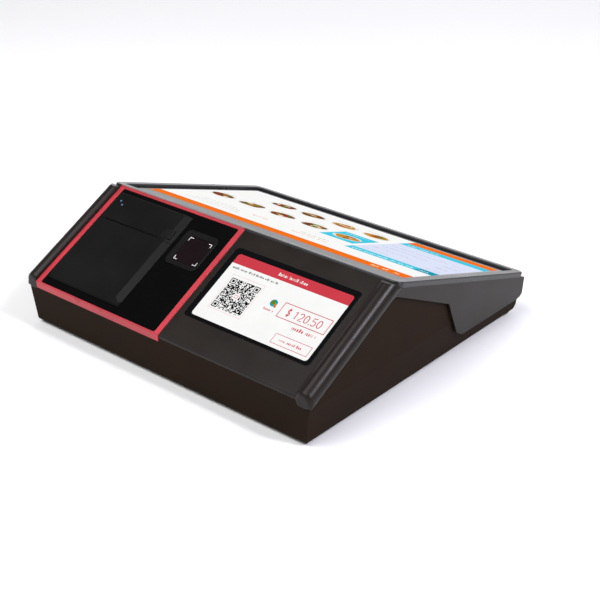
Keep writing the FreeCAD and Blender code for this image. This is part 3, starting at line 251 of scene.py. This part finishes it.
def paper(name):
    """Thermal paper with a faint fibre."""
    mat, nt, shader = new_material(name)
    fibre = noise(nt, 900.0, 4.0)
    tone = ramp(nt, fibre, [(0.3, (0.80, 0.80, 0.77)), (0.7, (0.90, 0.90, 0.87))])
    nt.links.new(tone, shader.inputs["Base Color"])
    nt.links.new(spread(nt, fibre, 0.5, 0.7), shader.inputs["Roughness"])
    shader.inputs["Sheen Weight"].default_value = 0.1
    bump(nt, shader, fibre, 0.2, 0.00004)
    return mat


# black hood plastic whose slight warm tint is a painted reflection of a wooden desk
HOOD_PAINTED_REFLECTION = moulded("hood_plastic", (0.0118, 0.0086, 0.0070), 0.33, specular=0.17)
# black tray plastic whose brown tint is a painted reflection of a wooden desk on its front and sides
TRAY_PAINTED_REFLECTION = moulded("tray_plastic", (0.0165, 0.0098, 0.0062), 0.48, grain=1200.0, specular=0.02)
BEZEL = moulded("bezel_plastic", (0.018, 0.018, 0.019), 0.30, strength=0.15, specular=0.42)
COVER = moulded("cover_plastic", (0.0070, 0.0066, 0.0062), 0.34, grain=1800.0, strength=0.22, specular=0.06)
BUTTON = moulded("button_plastic", (0.009, 0.009, 0.009), 0.30, grain=1800.0, strength=0.2, specular=0.08)
INNER = moulded("inner_plastic", (0.030, 0.030, 0.033), 0.45)
GEAR = moulded("gear_plastic", (0.72, 0.70, 0.64), 0.35, grain=700.0, strength=0.12)
CORE = moulded("core_plastic", (0.42, 0.44, 0.48), 0.4)
SOCKET = moulded("socket_plastic", (0.012, 0.012, 0.012), 0.35, grain=900.0)
CABLE = moulded("cable_film", (0.62, 0.62, 0.58), 0.3, grain=400.0, strength=0.1)
TRIM = moulded("trim_red", (0.42, 0.038, 0.050), 0.30, grain=1600.0, strength=0.12, specular=0.3)
PIANO = polished("panel_black", (0.0018, 0.0018, 0.0019), 0.06, specular=0.14)
GLASS = polished("cover_glass", (0.0032, 0.0034, 0.0040), 0.05, specular=0.4, wave=5.0)
CLEAR = polished("customer_cover_glass", (0.0030, 0.0031, 0.0034), 0.05, specular=0.12, wave=5.0)
WINDOW = polished("scan_window_glass", (0.006, 0.0025, 0.0030), 0.05, specular=0.4)
STEEL = metal("pin_steel", (0.56, 0.56, 0.57), 0.28, (0.05, 1.0, 1.0))
SHEET = metal("sheet_steel", (0.50, 0.51, 0.52), 0.38, (0.1, 1.0, 1.0), 260.0)
SCREW = metal("screw_steel", (0.12, 0.12, 0.125), 0.35)
CASE = metal("motor_case", (0.20, 0.20, 0.21), 0.4, (0.1, 1.0, 1.0))
ALU = metal("aluminium", (0.66, 0.67, 0.68), 0.34, (0.1, 1.0, 1.0), 300.0)
SHELL = metal("socket_shell", (0.62, 0.61, 0.58), 0.24, (1.0, 0.2, 1.0))
BOARD = board("circuit_board")
PLATEN = rubber("platen_rubber", (0.020, 0.020, 0.021))
FOOT = rubber("foot_rubber", (0.014, 0.014, 0.014))
PAPER = paper("receipt_paper")
LAMP = lit("status_lamp", (0.30, 0.45, 0.80), 0.45, gloss=0.2)

FINISH = {
    "upper_housing": HOOD_PAINTED_REFLECTION, "base_tray": TRAY_PAINTED_REFLECTION, "top_bezel": BEZEL, "main_touch_glass": GLASS,
    "main_lcd_panel": SHEET, "main_display_bracket": SHEET, "customer_glass": CLEAR,
    "customer_lcd_panel": SHEET, "customer_display_bracket": SHEET, "printer_trim": TRIM,
    "printer_panel": PIANO, "paper_door": COVER, "printer_bezel": COVER, "status_leds": LAMP,
    "door_hinge_pin": STEEL, "platen_shaft": STEEL, "platen_roller": PLATEN, "platen_gear": GEAR,
    "idler_gear": GEAR, "idler_pin": STEEL, "motor_pinion": GEAR, "motor_shaft": STEEL,
    "stepper_motor": CASE, "printer_frame": INNER, "thermal_head": ALU, "tear_bar": STEEL,
    "paper_bucket": INNER, "paper_roll": PAPER, "paper_core": CORE, "release_button": BUTTON,
    "release_lever": INNER, "lever_pin": STEEL, "scan_frame": COVER, "scan_window": WINDOW,
    "scanner_module": SOCKET, "scanner_bracket": SHEET, "nfc_antenna": BOARD, "mainboard": BOARD,
    "heat_sink": ALU, "board_screws": SCREW, "io_board": BOARD, "usb_sockets": SHELL,
    "lan_socket": SHELL, "drawer_socket": SOCKET, "power_socket": SOCKET, "power_button": BUTTON,
    "port_plate": SHEET, "power_switch": SOCKET, "speaker": SOCKET, "rubber_feet": FOOT,
    "housing_screws": SCREW, "display_screws": SCREW, "display_cable": CABLE,
}


def finish_nodes():
    """Gives every CAD node its material and shades its curved faces smooth."""
    for name, obj in NODES.items():
        obj.data.materials.clear()
        obj.data.materials.append(FINISH[name])
        for face in obj.data.polygons:
            face.material_index = 0
        obj.data.shade_smooth()
        obj.data.set_sharp_from_angle(angle=math.radians(SHARP_ANGLE))


# ---------------------------------------------------------------- picture and print pieces
def add_piece(name, bm, materials, body):
    """Turns a finished bmesh into a piece with the given materials that rides on body."""
    mesh = bpy.data.meshes.new(name)
    bm.to_mesh(mesh)
    bm.free()
    for material in materials:
        mesh.materials.append(material)
    obj = bpy.data.objects.new(name, mesh)
    scene.collection.objects.link(obj)
    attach(obj, body)


def closed(bm, place, low):
    """Gives a flat sheet of faces, drawn in local (x, y), a thickness down to low, then places it."""
    made = bmesh.ops.extrude_face_region(bm, geom=list(bm.faces))
    for item in made["geom"]:
        if isinstance(item, bmesh.types.BMVert):
            item.co.z = low
    bmesh.ops.recalc_face_normals(bm, faces=bm.faces)
    for v in bm.verts:
        v.co = place(v.co.x, v.co.y, v.co.z)


def mosaic(name, rects, keys, place):
    """One picture layer, cut into cells that share edges.

    rects are (x0, x1, y0, y1, colour), later ones on top.
    """
    xs = sorted({round(v, 4) for r in rects for v in r[0:2]})
    ys = sorted({round(v, 4) for r in rects for v in r[2:4]})
    owner = {}
    for x0, x1, y0, y1, key in rects:
        i0, i1 = xs.index(round(x0, 4)), xs.index(round(x1, 4))
        j0, j1 = ys.index(round(y0, 4)), ys.index(round(y1, 4))
        for i in range(i0, i1):
            for j in range(j0, j1):
                owner[(i, j)] = key
    bm = bmesh.new()
    corner = {}

    def vert(i, j):
        if (i, j) not in corner:
            corner[(i, j)] = bm.verts.new((xs[i], ys[j], 0.0))
        return corner[(i, j)]

    for (i, j), key in owner.items():
        face = bm.faces.new((vert(i, j), vert(i + 1, j), vert(i + 1, j + 1), vert(i, j + 1)))
        face.material_index = keys.index(key)
    closed(bm, place, -FILM)
    add_piece(name, bm, [UI[key] for key in keys], "housing")


def stickers(name, shapes, materials, place, thick=FILM):
    """Separate flat shapes as one piece.

    shapes are (list of (x, y), colour), and materials gives the material of each colour.
    """
    keys = list(materials)
    bm = bmesh.new()
    for points, key in shapes:
        upper = [bm.verts.new(place(x, y, 0.0)) for x, y in points]
        lower = [bm.verts.new(place(x, y, -thick)) for x, y in points]
        faces = [bm.faces.new(upper), bm.faces.new(list(reversed(lower)))]
        count = len(points)
        for i in range(count):
            j = (i + 1) % count
            faces.append(bm.faces.new((lower[i], lower[j], upper[j], upper[i])))
        for face in faces:
            face.material_index = keys.index(key)
    bmesh.ops.recalc_face_normals(bm, faces=bm.faces)
    add_piece(name, bm, materials.values(), "housing")


def oval(cx, cy, rx, ry, wobble=0.0, seed=0, count=20):
    """Outline of an oval whose edge is uneven by the share wobble."""
    draw = random.Random(seed)
    points = []
    lobes = [draw.uniform(-1, 1) for _ in range(3)]
    for i in range(count):
        a = 2 * math.pi * i / count
        grow = 1 + wobble * sum(l * math.sin((k + 2) * a + k) for k, l in enumerate(lobes)) / 2
        points.append((cx + rx * grow * math.cos(a), cy + ry * grow * math.sin(a)))
    return points


def bar(x0, x1, y0, y1):
    """Outline of a rectangle."""
    return [(x0, y0), (x1, y0), (x1, y1), (x0, y1)]


# unreadable marks, as shares of their row's height
MARK_WIDE = (0.13, 0.13, 0.30, 0.42)
MARK_TALL = (0.68, 0.68, 0.7, 1.0)
MARK_GAP = 0.26
WORD_GAP = 0.5
WORD_MARKS = (3, 7)                  # fewest and most marks in a word
FIRST_WORD = 6


def glyph_row(x0, x1, y, height, seed, key):
    """A line of unreadable marks with the rhythm of small print: upright strokes grouped in words."""
    draw = random.Random(seed)
    marks = []
    x = x0
    left = FIRST_WORD
    while x < x1 - height * WORD_GAP:
        wide = height * draw.choice(MARK_WIDE)
        tall = height * draw.choice(MARK_TALL)
        marks.append((x, min(x + wide, x1), y, y + tall, key))
        x += wide + height * MARK_GAP
        left -= 1
        if left <= 0:
            x += height * WORD_GAP
            left = draw.randint(*WORD_MARKS)
    return marks


UI = {
    "white": lit("ui_white", (0.86, 0.86, 0.85), 1.0),
    "red": lit("ui_red", (0.56, 0.045, 0.065), 1.0),
    "pink": lit("ui_pink", (0.80, 0.42, 0.44), 1.0),
    "black": lit("ui_black", (0.006, 0.006, 0.006), 0.6),
    "orange": lit("ui_orange", (0.80, 0.155, 0.012), 1.0),
    "cyan": lit("ui_cyan", (0.055, 0.54, 0.70), 1.0),
    "teal": lit("ui_teal", (0.010, 0.30, 0.42), 1.0),
    "pale": lit("ui_pale", (0.66, 0.70, 0.86), 1.0),
    "grey": lit("ui_grey", (0.42, 0.42, 0.42), 1.0),
    "cream": lit("ui_cream", (0.83, 0.72, 0.50), 1.0),
    "brown": lit("ui_brown", (0.16, 0.050, 0.012), 1.0),
    "ochre": lit("ui_ochre", (0.52, 0.24, 0.030), 1.0),
    "leaf": lit("ui_leaf", (0.10, 0.22, 0.020), 1.0),
    "berry": lit("ui_berry", (0.40, 0.016, 0.020), 1.0),
    "plate": lit("ui_plate", (0.72, 0.71, 0.68), 1.0),
}


def inks(*keys):
    """The named colours of the displays."""
    return {key: UI[key] for key in keys}


def printed(name, marks, place):
    """Small marks as one thin layer over a picture."""
    shapes = [(bar(*mark[:4]), mark[4]) for mark in marks]
    stickers(name, shapes, inks(*sorted({mark[4] for mark in marks})), place, thick=THIN)


def on_main(lift):
    """Places points of the operator picture, lift above its glass."""
    def place(x, y, n):
        return top(MAIN_CORNER[0] + x, MAIN_CORNER[1] + y, MAIN_FACE + lift + n)
    return place


def on_customer(lift):
    """Places points of the customer picture, lift above its glass."""
    def place(x, y, n):
        return slope(CUST_CORNER[0] + x, CUST_CORNER[1] + y, CUST_FACE + lift + n)
    return place


CODE_COUNT = 37                      # modules along each side of the code block
CODE_BORDER = 2.2                    # pale border between the modules and the frame
CODE_FRAME = 0.35                    # thickness of the frame line
CODE_HEAD = 1.5                      # extra border at the top
CODE_BLANK = 0.40                    # share of the modules that stay white
FINDER = 7                           # modules along each side of a corner square


def code_block(x, y, side):
    """Made-up grid of modules with three corner squares and a middle mark, from its lower left corner."""
    x0, x1 = x - CODE_BORDER, x + side + CODE_BORDER
    y0, y1 = y - CODE_BORDER, y + side + CODE_BORDER + CODE_HEAD
    rects = [(x0, x1, y0, y1, "pink"),
             (x0 + CODE_FRAME, x1 - CODE_FRAME, y0 + CODE_FRAME, y1 - CODE_FRAME, "white")]
    cell = side / CODE_COUNT
    last = CODE_COUNT - FINDER
    draw = random.Random(5)
    for i in range(CODE_COUNT):
        for j in range(CODE_COUNT):
            low_i, low_j = i <= FINDER, j <= FINDER
            high_i, high_j = i >= last - 1, j >= last - 1
            corner = (low_i and low_j) or (low_i and high_j) or (high_i and high_j)
            middle = abs(i - CODE_COUNT // 2) < 4 and abs(j - CODE_COUNT // 2) < 4
            if corner or middle or draw.random() < CODE_BLANK:
                continue
            rects.append((x + i * cell, x + (i + 1) * cell, y + j * cell, y + (j + 1) * cell, "black"))
    for i, j in ((0, 0), (0, last), (last, last)):
        for inset, key in ((0, "black"), (1, "white"), (2, "black")):
            size = FINDER - 2 * inset
            a, b = x + (i + inset) * cell, y + (j + inset) * cell
            rects.append((a, a + size * cell, b, b + size * cell, key))
    mid_x, mid_y = x + side / 2, y + side / 2
    for half, key in ((3.4, "white"), (2.2, "pink"), (1.2, "white")):
        rects.append((mid_x - half, mid_x + half, mid_y - half, mid_y + half, key))
    return rects


def customer_picture():
    """Payment page: title strip, code block, amount box and order box; x to the right, y up the slope."""
    w, h = CUST_ACTIVE
    title = 11.8
    amount_box = (84.0, 141.4, 30.8, 48.6)
    order_box = (97.2, 140.6, 4.0, 15.2)
    rects = [(0, w, 0, h, "white"), (0, w, h - title, h, "red")]
    rects += code_block(13.0, 15.8, 37.0)
    for (x0, x1, y0, y1), line in ((amount_box, 0.8), (order_box, 0.55)):
        rects.append((x0, x1, y0, y1, "red"))
        rects.append((x0 + line, x1 - line, y0 + line, y1 - line, "white"))
    mosaic("customer_picture", rects, ["white", "red", "pink", "black"], on_customer(FILM))

    marks = glyph_row(56.0, 93.0, h - 7.6, 3.6, 11, "white")       # in the title
    marks += glyph_row(4.5, 63.0, h - 17.4, 2.6, 12, "black")      # over the code block
    marks += glyph_row(108.0, 138.0, 24.0, 4.0, 14, "red")         # under the amount
    marks += glyph_row(105.0, 132.0, 8.2, 3.0, 15, "red")          # in the order box
    marks += glyph_row(66.5, 80.0, 33.2, 2.6, 16, "red")           # under the round symbol
    printed("customer_print", marks, on_customer(FILM * 1.3))


# pen lines of each sign, as shares of its width and height
STROKES = {
    "0": [[(0.5, 1.0), (0.85, 0.88), (1.0, 0.5), (0.85, 0.12), (0.5, 0.0), (0.15, 0.12), (0.0, 0.5),
           (0.15, 0.88), (0.5, 1.0)]],
    "1": [[(0.2, 0.8), (0.6, 1.0), (0.6, 0.0)]],
    "2": [[(0.0, 0.78), (0.15, 0.94), (0.5, 1.0), (0.88, 0.9), (0.95, 0.7), (0.75, 0.45),
           (0.0, 0.0), (1.0, 0.0)]],
    "5": [[(0.92, 1.0), (0.15, 1.0), (0.05, 0.56), (0.5, 0.64), (0.9, 0.5), (0.98, 0.28),
           (0.8, 0.06), (0.45, 0.0), (0.0, 0.1)]],
    "$": [[(0.95, 0.8), (0.7, 0.92), (0.3, 0.92), (0.05, 0.75), (0.2, 0.58), (0.8, 0.44),
           (0.95, 0.25), (0.7, 0.08), (0.3, 0.08), (0.05, 0.2)],
          [(0.5, 1.12), (0.5, -0.12)]],
}


def stroke(points, t):
    """Left and right edges of a line of thickness t through points."""
    left, right = [], []
    for i, here in enumerate(points):
        before = points[max(i - 1, 0)]
        after = points[min(i + 1, len(points) - 1)]
        dx, dy = after[0] - before[0], after[1] - before[1]
        size = math.hypot(dx, dy) or 1.0
        nx, ny = -dy / size * t / 2, dx / size * t / 2
        left.append((here[0] + nx, here[1] + ny))
        right.append((here[0] - nx, here[1] - ny))
    return left, right


def digit(char, x, y, w, h, t):
    """Numeral drawn with a pen of width t, as a list of quads."""
    quads = []
    for line in STROKES[char]:
        points = [(x + a * w, y + b * h) for a, b in line]
        if points[0] == points[-1]:
            points.append(points[1])
        left, right = stroke(points, t)
        for i in range(len(points) - 1):
            quads.append([right[i], right[i + 1], left[i + 1], left[i]])
    return quads


SYMBOL = (73.0, 43.0)                # middle of the round symbol on the customer picture


def customer_amount():
    """Digits of a made-up amount and the disc of the round symbol beside them."""
    x, y, h, w, pen = 92.5, 35.0, 8.6, 4.6, 0.95
    shapes = [(quad, "red") for quad in digit("$", x, y, w * 0.8, h, pen)]
    x += w + 3.4
    for char in "120.50":
        if char == ".":
            shapes.append((bar(x - 0.2, x + 0.9, y - 0.2, y + 0.9), "red"))
            x += 2.2
            continue
        shapes += [(quad, "red") for quad in digit(char, x, y, w, h, pen)]
        x += w + 1.9
    shapes.append((oval(*SYMBOL, 4.2, 4.2, 0.05, 3), "teal"))
    stickers("customer_amount", shapes, inks("red", "teal"), on_customer(2 * FILM))


def customer_corners():
    """Black inner corners of the customer glass's print, which round the picture off."""
    w, h = CUST_ACTIVE
    r = 3.2
    step = 15
    shapes = []
    for x, dx in ((0.0, 1), (w, -1)):
        for y, dy in ((0.0, 1), (h, -1)):
            for angle in range(0, 90, step):
                turns = (math.radians(angle), math.radians(angle + step))
                arc = [(x + dx * r * (1 - math.cos(c)), y + dy * r * (1 - math.sin(c))) for c in turns]
                shapes.append(([(x, y), *arc], "black"))
    stickers("customer_corners", shapes, inks("black"), on_customer(2 * FILM))


def customer_mark():
    """Plain coloured discs on the round symbol."""
    cx, cy = SYMBOL
    shapes = [(oval(cx - 0.8, cy + 0.6, 2.6, 2.6, 0.1, 4), "leaf"),
              (oval(cx + 2.6, cy - 1.6, 1.5, 2.0, 0.1, 5), "ochre"),
              (oval(cx + 3.4, cy - 3.4, 1.1, 1.1), "berry")]
    stickers("customer_mark", shapes, inks("leaf", "ochre", "berry"), on_customer(3 * FILM))


CHOSEN_DISH = (185.0, 230.0, 73.0, 124.0)   # patch behind the chosen dish, (x0, x1, y0, y1)


def main_picture():
    """Order page; x to the right, y from the ridge towards the operator."""
    w, h = MAIN_ACTIVE
    header = 18.0
    panel = 236.0                    # left edge of the order list
    total_y, list_y, name_y, foot_y = 50.0, 66.0, 155.0, 171.0
    button = 22.0
    rects = [(0, w, 0, h, "white"), (0, w, 0, header, "orange"),
             (panel, w, list_y, name_y, "pale"), (panel, w, name_y, foot_y, "cyan"),
             (panel, w, foot_y, h, "orange"), (panel, w, total_y, list_y, "cyan"),
             (w - button, w, total_y, list_y, "teal"), (*CHOSEN_DISH, "cyan")]
    mosaic("main_picture", rects, ["white", "orange", "pale", "cyan", "teal"], on_main(FILM * 0.6))

    marks = []
    for row in range(4):
        y = 76.0 + 18 * row
        marks += glyph_row(panel + 6, panel + 40 + 13 * row, y, 3.0, 40 + row, "grey")
        marks += glyph_row(w - 24, w - 6, y, 3.0, 50 + row, "grey")
    marks += glyph_row(panel + 8, panel + 50, 159.5, 4.5, 60, "white")
    marks += glyph_row(panel + 6, w - 26, 55.0, 4.5, 61, "white")
    marks += glyph_row(w - 19, w - 5, 55.0, 4.5, 62, "white")
    for row, y in enumerate((33.0, 42.0, 51.0)):
        marks += glyph_row(24.0 + 7 * row, 105.0 - 8 * row, y, 2.6, 70 + row, "grey")
    marks += glyph_row(112.0, 134.0, 47.0, 3.4, 75, "orange")
    marks += glyph_row(176.0, 224.0, 36.0, 3.2, 76, "orange")
    marks += glyph_row(182.0, 220.0, 45.0, 3.0, 77, "leaf")
    for k, x in enumerate((300.0, 314.0, 328.0)):
        marks += glyph_row(x, x + 9, 6.5, 5.0, 80 + k, "cream")
    for col, x in enumerate((20.0, 64.0, 108.0, 152.0)):
        marks += glyph_row(x - 8, x + 14, 112.0, 2.6, 90 + col, "grey")
        marks += glyph_row(x + 34, x + 58, 166.0, 2.6, 96 + col, "grey")
    marks += glyph_row(190.0, 222.0, 116.0, 3.0, 99, "white")
    printed("main_print", marks, on_main(FILM * 0.9))


# middle of each dish on the operator picture, in two rows, and its seed
DISHES = [(24, 98, 1), (68, 98, 2), (114, 98, 3), (160, 98, 4), (207, 95, 5),
          (74, 150, 6), (118, 150, 7), (164, 150, 8), (208, 150, 9)]
BITS = 9                             # toppings on each dish


def main_dishes():
    """Pictures of dishes on plates."""
    plates, sauces, toppings = [], [], []
    sauce_keys = ("brown", "ochre")
    topping_keys = ("brown", "ochre", "leaf", "berry", "cream")
    for x, y, seed in DISHES:
        draw = random.Random(seed)
        plates.append((oval(x, y, 18.0, 12.5, 0.03, seed), "plate"))
        sauce = oval(x + draw.uniform(-1, 1), y, 15.5, 10.0, 0.16, seed + 20)
        sauces.append((sauce, draw.choice(sauce_keys)))
        for k in range(BITS):
            a = draw.uniform(0, 2 * math.pi)
            r = draw.uniform(0.2, 0.75)
            rx, ry = draw.uniform(2.2, 5.0), draw.uniform(1.6, 3.4)
            bit = oval(x + 13.0 * r * math.cos(a), y + 8.2 * r * math.sin(a), rx, ry, 0.2, seed * 7 + k, 12)
            toppings.append((bit, draw.choice(topping_keys)))
    stickers("main_plates", plates, inks("plate"), on_main(FILM * 0.9), thick=THIN)
    stickers("main_dishes", sauces, inks(*sauce_keys), on_main(FILM * 1.2), thick=THIN)
    stickers("main_toppings", toppings, inks(*topping_keys), on_main(FILM * 1.5), thick=THIN)


def scan_corners():
    """White printed corner marks of the scan window."""
    white = moulded("print_white", (0.62, 0.62, 0.62), 0.5, grain=3000.0, strength=0.1)
    low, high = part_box("scan_window")
    margin, leg, wide = 1.2, 4.7, 0.9
    shapes = []
    for x, dx in ((low[0] / MM + margin, 1), (high[0] / MM - margin, -1)):
        for s, ds in zip(SCAN_MARKS_S, (1, -1)):
            outline = [(x, s), (x + dx * leg, s), (x + dx * leg, s + ds * wide),
                       (x + dx * wide, s + ds * wide), (x + dx * wide, s + ds * leg), (x, s + ds * leg)]
            shapes.append((outline if dx * ds > 0 else list(reversed(outline)), "print"))

    def place(x, s, n):
        return slope(x, s, SCAN_FACE + FILM + n)

    stickers("scan_corner_marks", shapes, {"print": white}, place)


# ---------------------------------------------------------------- stage
FLOOR_REACH = 9.0                    # metres from the middle to each edge

# softboxes: name, place, aim and size in metres, power in watts, colour
LIGHTS = (
    ("overhead_softbox", (-0.5, -1.3, 2.35), (0.0, 0.0, 0.05), (2.0, 2.0), 68.0, (1.0, 1.0, 1.0)),
    ("right_softbox", (1.9, 0.2, 1.85), (0.15, 0.0, 0.08), (0.4, 1.0), 56.0, (0.90, 0.89, 1.0)),
    ("back_softbox", (-2.3, 3.2, 1.2), (0.0, 0.0, 0.10), (4.0, 2.6), 36.0, (1.0, 1.0, 1.0)),
    ("far_softbox", (0.0, 2.8, 3.0), (0.0, 3.0, 0.0), (4.0, 4.0), 45.0, (1.0, 1.0, 1.0)),
)

# brightness of the surroundings, from the horizon up
SKY = [(0.0, (0.92, 0.92, 0.94)), (0.12, (0.60, 0.60, 0.62)), (0.45, (0.11, 0.11, 0.12))]


def make_stage():
    """Pale floor, which belongs to the picture and not to the kiosk."""
    bm = bmesh.new()
    bmesh.ops.create_grid(bm, x_segments=2, y_segments=2, size=FLOOR_REACH)
    mesh = bpy.data.meshes.new("floor")
    bm.to_mesh(mesh)
    bm.free()
    floor = bpy.data.objects.new("floor", mesh)
    scene.collection.objects.link(floor)
    mat, nt, shader = new_material("floor_pale")
    tone = ramp(nt, noise(nt, 1.5, 2.0), [(0.3, (0.86, 0.86, 0.86)), (0.7, (0.88, 0.88, 0.88))])
    nt.links.new(tone, shader.inputs["Base Color"])
    shader.inputs["Roughness"].default_value = 0.9
    shader.inputs["Specular IOR Level"].default_value = 0.1
    mesh.materials.append(mat)


def area_light(name, place, aim, size, power, colour):
    data = bpy.data.lights.new(name, "AREA")
    data.shape = "RECTANGLE"
    data.size, data.size_y = size
    data.energy = power
    data.color = colour
    obj = bpy.data.objects.new(name, data)
    obj.location = place
    obj.rotation_euler = (Vector(aim) - Vector(place)).to_track_quat("-Z", "Y").to_euler()
    scene.collection.objects.link(obj)


def make_light():
    world = bpy.data.worlds.new("studio")
    world.use_nodes = True
    nt = world.node_tree
    back = nt.nodes["Background"]
    where = nt.nodes.new("ShaderNodeTexCoord")
    parts = nt.nodes.new("ShaderNodeSeparateXYZ")
    nt.links.new(where.outputs["Generated"], parts.inputs["Vector"])
    nt.links.new(ramp(nt, parts.outputs["Z"], SKY), back.inputs["Color"])
    back.inputs["Strength"].default_value = 1.0
    scene.world = world
    for light in LIGHTS:
        area_light(*light)


def make_camera():
    data = bpy.data.cameras.new("camera")
    data.sensor_width = 36.0
    data.lens = CAMERA_LENS
    data.clip_start = 0.05
    cam = bpy.data.objects.new("camera", data)
    look = (CAMERA_AIM - CAMERA_AT).to_track_quat("-Z", "Y")
    turn = Matrix.Rotation(math.radians(CAMERA_ROLL), 4, "Z")
    cam.matrix_world = Matrix.Translation(CAMERA_AT) @ look.to_matrix().to_4x4() @ turn
    scene.collection.objects.link(cam)
    scene.camera = cam


# ---------------------------------------------------------------- build
scene.view_settings.view_transform = "Standard"
make_camera()
make_stage()
make_light()
finish_nodes()
customer_picture()
customer_amount()
customer_corners()
customer_mark()
main_picture()
main_dishes()
scan_corners()

bpy.context.view_layer.update()
